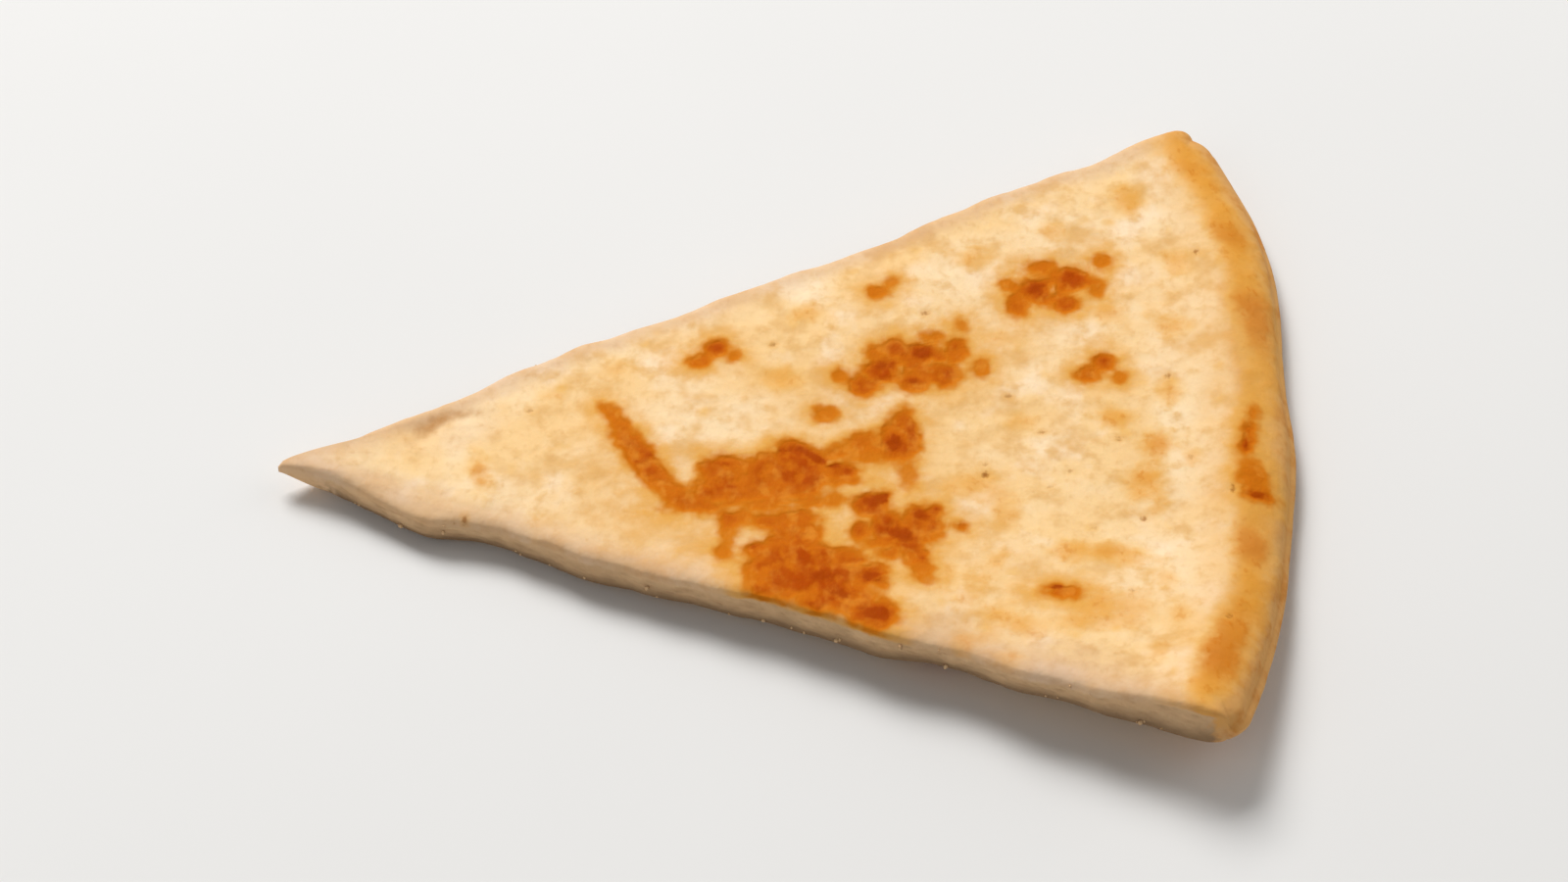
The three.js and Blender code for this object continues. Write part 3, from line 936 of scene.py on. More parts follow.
@dataclass
class Relief:
    """Fine unevenness that the wedge has over its plain form."""

    crumb_lumps: Unevenness = Unevenness(7, 0.13, 2.6)
    wide_pores: Pores = Pores(8, (1.9, 1.5))
    fine_pores: Pores = Pores(9, (0.9, 0.8), 0.6)
    pore_depth: float = 0.1
    pore_close: Ramp = Ramp(0.0, 0.25)
    crumb_rise: float = 1.7  # how much finer the crumb's pattern is up the face than along it
    cuts_apart: float = 40.0  # how far each cut's pattern lies from the middle of the noise
    ragged: Unevenness = Unevenness(10, 1.0, 2.2)
    ragged_top: Ramp = Ramp(1.0 / 3.0, 1.0, 0.06)
    ragged_base: Ramp = Ramp(-1.0 / 3.0, -1.0, 0.14)
    edge_reach: float = 0.6
    crust_streaks: Unevenness = Unevenness(11, 0.09, 1.6)
    crust_pace: tuple[float, float] = (30.0, 2.2)
    top_swell: Unevenness = Unevenness(12, 0.10, 8.0, 2)
    top_dimples: Unevenness = Unevenness(13, 0.05, 2.4)
    top_start: Ramp = Ramp(0.0, 10.0)
    sunken: Ramp = Ramp(-0.4, 0.6, 0.06)
    pitted: Ramp = Ramp(-0.18, 0.12, 0.12)
    pinch: tuple[Patch, ...] = spots(
        (13.4, 3.9, 2.1, 1.0, 0.26, 55.0), (15.6, 5.3, 1.9, 0.9, 0.12, 8.0),
        (11.2, 5.0, 1.9, 1.0, -0.3, 35.0),
    )
    base_lumps: Unevenness = Unevenness(14, 0.10, 5.0)
    base_least: float = 0.03
    base_apart: float = 50.0  # how far under the top's noise the underside's is read
    tip_thinning: float = 0.5
    tip_reach: float = 4.0

    def cut(self, at: Places, height: np.ndarray, start: np.ndarray) -> tuple[np.ndarray, ...]:
        """How far a cut face's crumb stands out, and how deep its pores are.

        Lumps are layered noise drawn out along the cut. Pores are hollows drawn out along it
        too. The face's two edges are ragged by noise that runs along the cut alone. The two
        cuts read the noise far apart, so that they differ.

        Args:
            at: the places.
            height: height up the face.
            start: 0 at the tip and the crust, where the crumb closes, and 1 between them.

        Returns:
            The way out of the cut, and the pores from 0 to 1.
        """
        apart = self.cuts_apart * at.side
        sheet = np.stack([at.from_tip, height * self.crumb_rise + apart, apart], axis=-1)
        line = np.stack([at.from_tip, apart, 0.0 * apart], axis=-1)
        pore = np.maximum(self.wide_pores.over(sheet[..., :2]), self.fine_pores.over(sheet[..., :2]))
        pore = pore * self.pore_close.of(1.0 - np.abs(at.through))
        edges = self.ragged_base.of(at.through) + self.ragged_top.of(at.through)
        out = self.crumb_lumps.over(sheet) - self.pore_depth * pore + edges * self.ragged.over(line)
        return start * out, start * pore

    def crust(self, at: Places) -> np.ndarray:
        """How far the crust's wall stands out: noise drawn out along the arc.

        Args:
            at: the places.

        Returns:
            Distances in millimetres.
        """
        along, up = self.crust_pace
        return self.crust_streaks.over(
            np.stack([at.angle * along, at.through * up, 0.0 * at.angle], axis=-1)
        )

    def top(self, x: np.ndarray, y: np.ndarray, at: Places) -> np.ndarray:
        """Height of the top over the plain form.

        Soft swells and dimples are layered noise. Browned spots are a little sunken, with smooth
        sides, and the pits and the soft fold beside the tip are pressed in.

        Args:
            x: places along the middle line.
            y: places towards the far cut.
            at: the places.

        Returns:
            Heights in millimetres.
        """
        plan = np.stack([x, y, 0.0 * x], axis=-1)
        depth, tone = TOP_BROWNING.fields(x, y)
        uneven = self.top_swell.over(plan) + self.top_dimples.over(plan) - tone * self.sunken.of(depth)
        pits, deep = PITS.fields(x, y)
        pressed = marks(self.pinch, x, y) + deep * self.pitted.of(pits)
        return self.top_start.of(at.from_tip) * uneven - pressed

    def tip(self, at: Places) -> np.ndarray:
        """Share of the thickness that the underside gives way: a square that ends at a reach."""
        return self.tip_thinning * np.maximum(0.0, 1.0 - at.from_tip / self.tip_reach) ** 2

    def base(self, x: np.ndarray, y: np.ndarray) -> np.ndarray:
        """Height of the underside over the plain form: layered noise, never below 0."""
        plan = np.stack([x, y, 0.0 * x + self.base_apart], axis=-1)
        return np.maximum(0.0, self.base_least + self.base_lumps.over(plan))


@dataclass(frozen=True)
class Dressing:
    """Works out what the finish reads at each point of the surface."""

    fade_on_cut: float = 1.1
    fade_elsewhere: float = 0.9
    most_depth: tuple[float, float] = (-12.0, 6.0)
    near_top: Ramp = Ramp(1.0, 0.0)
    past_skin: Ramp = Ramp(0.0, 0.6)
    past_crust: Ramp = Ramp(0.4, 3.0)
    past_tip: Ramp = Ramp(2.0, 7.0)
    torn_base: Ramp = Ramp(1.2, 0.4)
    speckled: Ramp = Ramp(16.0, 28.0, 1.0, 0.45)

    def browning(self, made: Surface) -> dict[str, np.ndarray]:
        """Depth inside the browning and its darkness.

        The top's browning fades with depth under the top, fast on a cut face, where it is the
        thin browned skin, and more slowly round the crust. The underside's does the same
        upwards, and the deeper of the two counts.

        Args:
            made: the finished surface.

        Returns:
            Named values, one for each point.
        """
        x, y = made.points[:, 0], made.points[:, 1]
        fade = np.where(made.places.on_cut, self.fade_on_cut, self.fade_elsewhere)
        found = {}
        for name, top, base in (("toast", TOP_BROWNING, BASE_BROWNING), ("tan", TOP_TAN, BASE_TAN)):
            top_depth, top_tone = top.fields(x, y)
            base_depth, base_tone = base.fields(x, y)
            top_depth -= fade * made.below_top
            base_depth -= fade * made.above_base
            found[name] = np.clip(np.maximum(top_depth, base_depth), *self.most_depth)
            found[f"{name}_tone"] = np.where(top_depth > base_depth, top_tone, base_tone)
        return found

    def crumb(self, made: Surface) -> np.ndarray:
        """Where the crumb shows: on the cut faces and along their lower edge, past the skin.

        It closes towards the crust and the tip.

        Args:
            made: the finished surface.

        Returns:
            1 where the crumb is open and 0 where skin covers it.
        """
        at = made.places
        face = np.where(at.on_cut & (at.through < 1.0), 1.0, 0.0)
        base = np.where(at.through <= -1.0, self.torn_base.of(at.from_cut), 0.0)
        past_ends = np.minimum(self.past_crust.of(at.from_crust), self.past_tip.of(at.from_tip))
        return np.maximum(face, base) * np.minimum(self.past_skin.of(made.below_top), past_ends)

    def fields(self, made: Surface) -> dict[str, np.ndarray]:
        """All that the finish reads: browning, pits, marks, crumb, and distances.

        Args:
            made: the finished surface.

        Returns:
            Named values, one for each point.
        """
        at = made.places
        x, y = made.points[:, 0], made.points[:, 1]
        near_top = self.near_top.of(made.below_top)
        pit_depth, pit_tone = PITS.fields(x, y)
        found = self.browning(made)
        found["pit"] = np.clip(pit_depth, -1.0, 1.0) * near_top - (1.0 - near_top)
        found["pit_tone"] = pit_tone * near_top
        for name, patches in TOP_MARKS.items():
            found[name] = near_top * marks(patches, x, y)
        found["crumb"] = self.crumb(made)
        found["pore"] = made.pore
        found["up_face"] = (at.through + 1.0) / 2.0
        found["inset"] = at.from_crust
        # Distance from the nearer cut, which sets the painted shade along the cuts.
        found["margin_shade"] = at.from_cut
        found["speckle"] = self.speckled.of(at.from_tip)
        return found


@dataclass
class Wedge:
    """The wedge of bread: its form, relief and dressing, as one closed piece."""

    form: WedgeForm = field(default_factory=WedgeForm)
    relief: Relief = field(default_factory=Relief)
    lattice: Lattice = field(default_factory=Lattice)
    dressing: Dressing = field(default_factory=Dressing)
    made: Surface = field(init=False)
    shift: np.ndarray = field(init=False)

    def __post_init__(self) -> None:
        """Works out the surface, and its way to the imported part, which both pieces need."""
        self.made = self.surface(detailed=True)
        self.shift = self.offset()

    def surface(self, detailed: bool) -> Surface:
        """Works out the closed surface.

        Points of a divided box's shell are carried to the sector. The cuts and the crust take
        their waves, bulges and relief sideways. The underside follows the curl, the top stands
        over it by the thickness, the underside of the tip gives way a little, and points
        between them share that height evenly.

        Args:
            detailed: False leaves the relief out.

        Returns:
            The surface, in the wedge's own plan.
        """
        form, relief = self.form, self.relief
        places, faces = self.lattice.shell()
        at = form.places(*self.lattice.shares(places))
        back, aside = form.corner_shift(at)
        tip_end, crust_end = form.crumb_start
        ends = smooth(at.from_tip / tip_end) * smooth(at.from_crust / crust_end)
        past_cut = form.nearness(at) * form.cut_wave(at) - aside
        past_cut += at.on_cut * ends * form.bulge(at, form.cut_edge)
        past_crust = at.on_crust * form.bulge(at, form.crust_edge) - back
        pore = np.zeros(at.x.shape)
        if detailed:
            height = form.thickness(at.x, at.y, at) * (at.through + 1.0) / 2.0
            out, pore = relief.cut(at, height, ends)
            past_cut += out * bell(at.from_cut, relief.edge_reach)
            past_crust += relief.crust(at) * bell(at.from_crust, relief.edge_reach)
        x, y = form.carry(at, past_cut, past_crust)
        drop, rise = form.edge_rounding(at)
        low = form.curl(x, y) + rise
        high = form.curl(x, y) + form.thickness(x, y, at) - drop
        if detailed:
            low += relief.base(x, y)
            high += relief.top(x, y, at)
            low += relief.tip(at) * (high - low)
        z = low + (high - low) * (at.through + 1.0) / 2.0
        points = np.stack([x, y, z], axis=-1)
        return Surface(points, faces, at, high - z, z - low, pore * at.on_cut)

    def offset(self) -> np.ndarray:
        """The way from the wedge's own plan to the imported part, in millimetres.

        It lays the middle of the plain form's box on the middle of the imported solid's box, and
        the lowest point on the lowest.

        Returns:
            Three numbers to add to a point.
        """
        low, high = (np.array(corner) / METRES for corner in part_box(NODE))
        plain = self.surface(detailed=False).points
        middle = (plain.min(axis=0) + plain.max(axis=0)) / 2.0
        shift = (low + high) / 2.0 - middle
        shift[2] = low[2] - plain[:, 2].min()
        return shift

    def build(self, finish: "BreadFinish") -> bpy.types.Object:
        """Makes the piece and dresses it.

        Args:
            finish: the bread's finish.

        Returns:
            The piece.
        """
        points = (self.made.points + self.shift) * METRES
        piece = make_piece("wedge_of_bread", points, self.made.faces.tolist())
        for name, values in self.dressing.fields(self.made).items():
            attribute = piece.data.attributes.new(name, "FLOAT", "POINT")
            attribute.data.foreach_set("value", values.astype(np.float32))
        piece.data.materials.append(finish.material())
        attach(piece, BODY)
        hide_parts(NODE)
        return piece


def make_piece(name: str, points: np.ndarray, faces: list[list[int]]) -> bpy.types.Object:
    """Puts points and faces into a mesh object with smooth faces.

    Args:
        name: the piece's name.
        points: places in metres, one row each.
        faces: the points of each face.

    Returns:
        The object, linked to the scene.
    """
    mesh = bpy.data.meshes.new(name)
    mesh.from_pydata(points.tolist(), [], faces)
    mesh.polygons.foreach_set("use_smooth", np.ones(len(faces), dtype=bool))
    mesh.update()
    piece = bpy.data.objects.new(name, mesh)
    bpy.context.scene.collection.objects.link(piece)
    return piece


@dataclass
class ClingingCrumbs:
    """Small torn crumbs that cling to the edges of the two cuts, as one piece."""

    wedge: Wedge
    seed: int = 11
    count: int = 44
    smallest: float = 0.1
    largest: float = 0.3
    rings: int = 6
    sectors: int = 8
    off_tip: float = 5.0
    off_crust: float = 2.0
    anywhere: float = 0.15
    low_down: float = 2.2
    high_up: float = 0.5
    low_edge: float = -0.7
    high_edge: float = 0.9
    size_power: float = 2.2
    stretch: tuple[float, float] = (0.65, 1.25)
    stand_out: float = 0.35
    roughness: float = 0.35
    lump: float = 0.22
    apart: float = 9.0  # spreads the lumps over the noise, so that no two are alike

    def ball(self) -> tuple[np.ndarray, list[list[int]]]:
        """A round lump of radius 1: rings of points by height and turn, and a pole at each end.

        Returns:
            The points, and the faces, which are triangles round the poles.
        """
        lift = np.linspace(-0.5, 0.5, self.rings + 1)[1:-1] * math.pi
        turn = np.arange(self.sectors) * math.tau / self.sectors
        lifts, turns = np.meshgrid(lift, turn, indexing="ij")
        belt = np.stack(
            [np.cos(lifts) * np.cos(turns), np.cos(lifts) * np.sin(turns), np.sin(lifts)], axis=-1
        )
        points = np.concatenate([belt.reshape(-1, 3), [[0.0, 0.0, -1.0], [0.0, 0.0, 1.0]]])
        start = np.arange(self.sectors)
        after = (start + 1) % self.sectors
        first = np.arange(self.rings - 2)[:, None] * self.sectors
        sides = np.stack(
            [first + start, first + after, first + after + self.sectors, first + start + self.sectors],
            axis=-1,
        )
        last = (self.rings - 2) * self.sectors
        low_pole = np.full(self.sectors, len(points) - 2)
        bottom = np.stack([low_pole, after, start], axis=-1)
        top = np.stack([low_pole + 1, last + start, last + after], axis=-1)
        return points, sides.reshape(-1, 4).tolist() + bottom.tolist() + top.tolist()

    def seats(self, chance: np.random.Generator) -> tuple[np.ndarray, np.ndarray]:
        """Picks where the crumbs sit: points of the cut faces, mostly near their lower edge.

        Args:
            chance: the seeded numbers.

        Returns:
            The crumbs' places, and the way out of the cut at each.
        """
        at = self.wedge.made.places
        open_face = at.on_cut & (at.from_tip > self.off_tip) & (at.from_crust > self.off_crust)
        edges = self.low_down * (at.through < self.low_edge)
        edges += self.high_up * (at.through > self.high_edge)
        weight = open_face * (self.anywhere + edges)
        picked = chance.choice(len(weight), self.count, replace=False, p=weight / weight.sum())
        half = self.wedge.form.cut_angle / 2.0
        side = at.side[picked]
        out = np.stack([-math.sin(half) + 0.0 * side, side * math.cos(half), 0.0 * side], axis=-1)
        return self.wedge.made.points[picked], out

    def build(self, finish: "CrumbFinish") -> bpy.types.Object:
        """Makes the crumbs: round lumps with noise on their radius, stretched and turned.

        Each point of a lump is its way from the middle times the lump's size, its three
        stretches and one plus noise, and the lump sits a third of its size out of the face.

        Args:
            finish: the crumbs' finish.

        Returns:
            The piece.
        """
        chance = np.random.default_rng(self.seed)
        seats, out = self.seats(chance)
        ball, faces = self.ball()
        share = chance.uniform(size=(self.count, 1)) ** self.size_power
        size = self.smallest + (self.largest - self.smallest) * share
        lump = ball * chance.uniform(*self.stretch, size=(self.count, 1, 3)) * size[..., None]
        angle = chance.uniform(0.0, math.tau, self.count)[:, None]
        x = lump[..., 0] * np.cos(angle) - lump[..., 1] * np.sin(angle)
        y = lump[..., 0] * np.sin(angle) + lump[..., 1] * np.cos(angle)
        turned = np.stack([x, y, lump[..., 2]], axis=-1)
        middle = (seats + out * size * self.stand_out)[:, None]
        spread = turned + self.apart * middle
        rough = 1.0 + self.roughness * Grain(self.seed).at(spread, self.lump)
        points = middle + turned * rough[..., None] + self.wedge.shift
        points[..., 2] = np.maximum(points[..., 2], 0.0)
        starts = range(0, self.count * len(ball), len(ball))
        all_faces = [[corner + start for corner in face] for start in starts for face in faces]
        piece = make_piece("clinging_crumbs", points.reshape(-1, 3) * METRES, all_faces)
        piece.data.materials.append(finish.material())
        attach(piece, BODY)
        return piece


class Sum(Enum):
    """A sum on values, by the name that its node has for it."""

    PLUS = "ADD"
    TIMES = "MULTIPLY"
    TIMES_PLUS = "MULTIPLY_ADD"


class Mixed(Enum):
    """What is mixed: the node's name for it, and the ending of its sockets' names."""

    COLOURS = ("RGBA", "Color")
    NUMBERS = ("FLOAT", "Float")


@dataclass(frozen=True)
class Cloud:
    """Cloudy noise from 0 to 1.

    Its lumps have a size in millimetres, with `detail` finer layers of a strength. Its place is
    scaled along each axis and turned by degrees about the upright one.
    """

    size: float
    detail: float = 2.0
    strength: float = 0.5
    scale: tuple[float, float, float] = (1.0, 1.0, 1.0)
    turn: float = 0.0


@dataclass(frozen=True)
class Coat:
    """A coat of colour, and the step of a value that says how much of it shows."""

    colour: Colour
    ramp: Ramp


class Graph:
    """A material's nodes, made one by one, and a colour that is laid on coat by coat.

    Patterns are in millimetres of the object.
    """

    def __init__(self, name: str, clouds: dict[str, Cloud]) -> None:
        """Starts a material with a surface shader, the object's place and its noises.

        Args:
            name: the material's name.
            clouds: the noises by name.
        """
        self.material = bpy.data.materials.new(name)
        self.material.use_nodes = True
        self.tree = self.material.node_tree
        self.shader = self.tree.nodes["Principled BSDF"]
        place = self.tree.nodes.new("ShaderNodeTexCoord").outputs["Object"]
        self.place = self.moved(place, (1.0 / METRES, 1.0 / METRES, 1.0 / METRES), 0.0)
        self.noises = {key: self.noise(cloud) for key, cloud in clouds.items()}
        self.colour: Socket | Colour = (0, 0, 0)

    def fill(self, socket: Socket, entry: Entry | Colour) -> None:
        """Links a socket, or sets it to a plain number or a display colour.

        Args:
            socket: the socket.
            entry: another socket, a number or a colour.
        """
        if isinstance(entry, Socket):
            self.tree.links.new(entry, socket)
        else:
            socket.default_value = linear_colour(entry) if isinstance(entry, tuple) else entry

    def moved(self, source: Socket, scale: tuple[float, float, float], turn: float) -> Socket:
        """A place scaled along each axis and turned about the upright one.

        Args:
            source: the place.
            scale: the factor along each axis.
            turn: degrees.

        Returns:
            The new place.
        """
        node = self.tree.nodes.new("ShaderNodeMapping")
        node.inputs["Scale"].default_value = scale
        node.inputs["Rotation"].default_value = (0.0, 0.0, math.radians(turn))
        self.fill(node.inputs["Vector"], source)
        return node.outputs["Vector"]

    def noise(self, cloud: Cloud) -> Socket:
        """Cloudy noise from 0 to 1.

        Args:
            cloud: its sizes.

        Returns:
            The value.
        """
        node = self.tree.nodes.new("ShaderNodeTexNoise")
        node.inputs["Scale"].default_value = 1.0 / cloud.size
        node.inputs["Detail"].default_value = cloud.detail
        node.inputs["Roughness"].default_value = cloud.strength
        self.fill(node.inputs["Vector"], self.moved(self.place, cloud.scale, cloud.turn))
        return node.outputs["Fac"]

    def cells(self, cloud: Cloud) -> tuple[Socket, Socket]:
        """Scattered points: how far the nearest is, and a seeded number that it has.

        Args:
            cloud: their mean distance and turn.

        Returns:
            The distance in cells, and the number from 0 to 1.
        """
        node = self.tree.nodes.new("ShaderNodeTexVoronoi")
        node.inputs["Scale"].default_value = 1.0 / cloud.size
        self.fill(node.inputs["Vector"], self.moved(self.place, cloud.scale, cloud.turn))
        split = self.tree.nodes.new("ShaderNodeSeparateColor")
        self.fill(split.inputs["Color"], node.outputs["Color"])
        return node.outputs["Distance"], split.outputs["Red"]

    def value(self, name: str) -> Socket:
        """A named value of the mesh's points.

        Args:
            name: its name on the mesh.

        Returns:
            The value.
        """
        node = self.tree.nodes.new("ShaderNodeAttribute")
        node.attribute_name = name
        return node.outputs["Fac"]

    def maths(self, way: Sum, *entries: Entry) -> Socket:
        """One sum on values.

        Args:
            way: which sum.
            *entries: sockets or plain numbers.

        Returns:
            The result.
        """
        node = self.tree.nodes.new("ShaderNodeMath")
        node.operation = way.value
        for socket, entry in zip(node.inputs, entries):
            self.fill(socket, entry)
        return node.outputs["Value"]

    def product(self, *entries: Entry) -> Entry:
        """All the values multiplied together."""
        return functools.reduce(functools.partial(self.maths, Sum.TIMES), entries)

    def total(self, *entries: Entry) -> Entry:
        """All the values added up."""
        return functools.reduce(functools.partial(self.maths, Sum.PLUS), entries)

    def swings(self, **reaches: float) -> Socket:
        """The sum of the named noises, each turned to swing both ways by its reach."""
        return self.total(
            *(
                self.maths(Sum.TIMES_PLUS, self.noises[name], 2.0 * reach, -reach)
                for name, reach in reaches.items()
            )
        )

    def stirred(self, entry: Entry, **reaches: float) -> Socket:
        """A value with the named noises' swings added."""
        return self.total(entry, self.swings(**reaches))

    def step(self, source: Socket, ramp: Ramp) -> Socket:
        """A smooth step of a value.

        Args:
            source: the value.
            ramp: where the step starts and ends, and its two heights.

        Returns:
            The result.
        """
        node = self.tree.nodes.new("ShaderNodeMapRange")
        node.interpolation_type = "SMOOTHSTEP"
        node.inputs["From Min"].default_value = ramp.low
        node.inputs["From Max"].default_value = ramp.high
        node.inputs["To Min"].default_value = ramp.least
        node.inputs["To Max"].default_value = ramp.top
        self.fill(node.inputs["Value"], source)
        return node.outputs["Result"]

    def mix(
        self, share: Entry, under: Entry | Colour, over: Entry | Colour, what: Mixed = Mixed.COLOURS
    ) -> Socket:
        """Lays one colour or value over another.

        Args:
            share: how much of the upper one shows.
            under: the lower one.
            over: the upper one.
            what: whether colours or numbers are mixed.

        Returns:
            The mixed colour or value.
        """
        node = self.tree.nodes.new("ShaderNodeMix")
        node.data_type, ending = what.value
        entries = {"Factor_Float": share, f"A_{ending}": under, f"B_{ending}": over}
        for socket in node.inputs:
            if socket.identifier in entries:
                self.fill(socket, entries[socket.identifier])
        return next(s for s in node.outputs if s.identifier == f"Result_{ending}")

    def cover(self, colour: Socket | Colour, *shares: Entry) -> None:
        """Lays a colour over what is there, by the product of the shares."""
        self.colour = self.mix(self.product(*shares), self.colour, colour)

    def lay(self, coat: Coat, source: Socket, *shares: Entry) -> None:
        """Lays a coat over what is there, by its step of a value and other shares."""
        self.cover(coat.colour, self.step(source, coat.ramp), *shares)

    def relief(self, height: Socket, strength: float) -> None:
        """Gives the shader a fine relief from a height in millimetres.

        Args:
            height: the height.
            strength: how strongly it shows, from 0 to 1.
        """
        node = self.tree.nodes.new("ShaderNodeBump")
        node.inputs["Strength"].default_value = strength
        node.inputs["Distance"].default_value = METRES
        self.fill(node.inputs["Height"], height)
        self.fill(self.shader.inputs["Normal"], node.outputs["Normal"])

    def dress(self, roughness: Entry, specular: float) -> bpy.types.Material:
        """Gives the shader its colour, roughness and gloss.

        Args:
            roughness: from 0 to 1.
            specular: how strong the gloss is.

        Returns:
            The material.
        """
        self.fill(self.shader.inputs["Base Color"], self.colour)
        self.fill(self.shader.inputs["Roughness"], roughness)
        self.shader.inputs["Specular IOR Level"].default_value = specular
        return self.material


# The finer noises are drawn out across the wedge, so that they look round from a low angle.
SLANTED = (1.08, 0.76, 1.0)
BREAD_NOISES = {
    "clouds": Cloud(9.0, 3.0),
    "mottle": Cloud(2.4, 3.0, 0.55),
    "lobes": Cloud(1.3, 1.0),
    "spots": Cloud(0.8, scale=SLANTED, turn=12.0),
    "blots": Cloud(2.0, scale=SLANTED, turn=12.0),
    "grains": Cloud(0.3, scale=SLANTED, turn=12.0),
    "gold": Cloud(1.5, scale=SLANTED, turn=-20.0),
    "dust": Cloud(5.5, 3.0, 0.55, turn=40.0),
    "blotches": Cloud(4.2, 3.0, 0.55, turn=40.0),
    "layers": Cloud(1.6, 3.0, scale=(0.5, 0.5, 1.5)),
}


@dataclass(frozen=True)
class BreadFinish:
    """Griddled flatbread: floury pale skin, browned spots, a tan rim and an open crumb.

    Steps of the mesh's own values are in millimetres. Steps of noise run from 0 to 1.
    """

    cream: Colour = (249, 221, 178)
    straw: Colour = (222, 172, 104)
    warm: Colour = (230, 176, 104)
    # Grey beige for the duller places, and for painted shade near the cuts and beside the fold.
    dull_and_shade: Colour = (206, 164, 130)
    blush: Colour = (236, 182, 92)
    yellow: Colour = (226, 164, 76)
    tan: Colour = (228, 152, 44)
    amber: Colour = (202, 112, 18)
    brown: Colour = (176, 70, 0)
    rim: Colour = (199, 120, 36)
    rim_pale: Colour = (225, 165, 88)
    rim_edge: Colour = (219, 164, 98)
    rim_low: Colour = (210, 170, 122)
    crumb_light: Colour = (230, 192, 147)
    crumb_dark: Colour = (200, 160, 118)
    # Painted shade at the foot of the cut faces, where they turn away from the light.
    crumb_shaded_low: Colour = (138, 111, 84)
    butter: Coat = Coat((245, 206, 148), Ramp(0.36, 0.64))
    flour: Coat = Coat((253, 230, 198), Ramp(0.5, 0.72, 0.75))
    blotches: Coat = Coat(straw, Ramp(0.47, 0.72, 0.85))
    mottles: Coat = Coat(straw, Ramp(0.49, 0.73, 0.7))
    fine_spots: Coat = Coat(straw, Ramp(0.52, 0.8, 0.28))
    fine_grains: Coat = Coat(straw, Ramp(0.45, 0.75, 0.05))
    freckles: Coat = Coat(blush, Ramp(0.4, 0.0))
    freckle_cells: Cloud = Cloud(2.4, turn=40.0)
    freckle_chance: Ramp = Ramp(0.5, 0.9, 0.5)
    skin_patches: Ramp = Ramp(0.35, 0.6, 1.0, 0.5)
    # Painted shade on the skin within about 3 mm of each cut.
    margin_shade: Coat = Coat(dull_and_shade, Ramp(3.2, 0.6, 0.55))
    # Brown for the fold beside the tip: painted shade, over a little browning.
    crease_shade: Coat = Coat((174, 119, 62), Ramp(-0.1, 1.2, 0.85))
    rim_tinge: Coat = Coat(warm, Ramp(9.5, 4.8, 0.42))
    rim_patches: Ramp = Ramp(0.36, 0.6)
    rim_reach: Ramp = Ramp(5.1, 2.9, 0.93)
    edge_low: Ramp = Ramp(0.8, 0.1)
    edge_mottle: Ramp = Ramp(0.46, 0.66, 0.55)
    edge_reach: Ramp = Ramp(2.4, 0.5, 0.85)
    faint_tan: Coat = Coat(blush, Ramp(-1.2, 0.4, 0.8))
    strong_tan: Ramp = Ramp(-0.65, 1.0)
    darker_tan: Ramp = Ramp(0.55, 0.9)
    tan_specks: Coat = Coat(amber, Ramp(0.54, 0.72, 0.6))
    tinge: Coat = Coat(warm, Ramp(-6.0, -2.0, 0.15))
    halo: Coat = Coat(yellow, Ramp(-2.4, -0.2, 0.95))
    halo_patches: Ramp = Ramp(0.3, 0.6, 1.0, 0.5)
    fringe: Coat = Coat((208, 122, 22), Ramp(-0.75, 0.1))
    fringe_tone: Ramp = Ramp(0.0, 0.5)
    light: Coat = Coat((203, 106, 12), Ramp(-0.35, 0.35))
    light_tone: Ramp = Ramp(0.2, 0.8)
    gold: Coat = Coat((219, 134, 40), Ramp(-0.3, 0.3))
    gold_patches: Ramp = Ramp(0.49, 0.68, 0.75)
    deep: Coat = Coat(brown, Ramp(-0.1, 1.1))
    deep_tone: Ramp = Ramp(0.45, 0.95)
    deep_patches: Ramp = Ramp(0.34, 0.6)
    blot_edge: Ramp = Ramp(0.1, 0.9)
    blot_depth: Ramp = Ramp(-0.3, 0.2, 0.85)
    scorch: Coat = Coat((150, 52, 0), Ramp(0.35, 0.8, 0.55))
    pit_ring: Coat = Coat(yellow, Ramp(-0.5, 0.1, 0.45))
    pit_hole: Coat = Coat((146, 84, 26), Ramp(-0.12, 0.18, 0.8))
    torn: Ramp = Ramp(0.15, 0.85)
    torn_start: Ramp = Ramp(0.0, 0.2)
    crumb_shade: Ramp = Ramp(0.0, 1.0)
    # Where the crumb's painted shade starts, going down the face.
    crumb_shade_fall: Ramp = Ramp(0.95, -0.1)
    crumb_mean: float = 0.35
    pore_shade: float = 0.3
    browned_over: Ramp = Ramp(-0.3, 0.5)
    sunken: Ramp = Ramp(-0.2, 0.3)
    sunken_tone: Ramp = Ramp(0.2, 0.9)
    sunken_depth: float = -0.15
    relief: float = 0.75
    skin_roughness: float = 0.7
    toast_roughness: float = 0.6
    crumb_roughness: float = 0.9
    specular: float = 0.05
    specular_tint: tuple[float, float, float] = (1.0, 0.6, 0.25)
    translucence: float = 0.05
    light_spread: tuple[float, float, float] = (1.0, 0.5, 0.25)
    light_reach: float = 0.0012

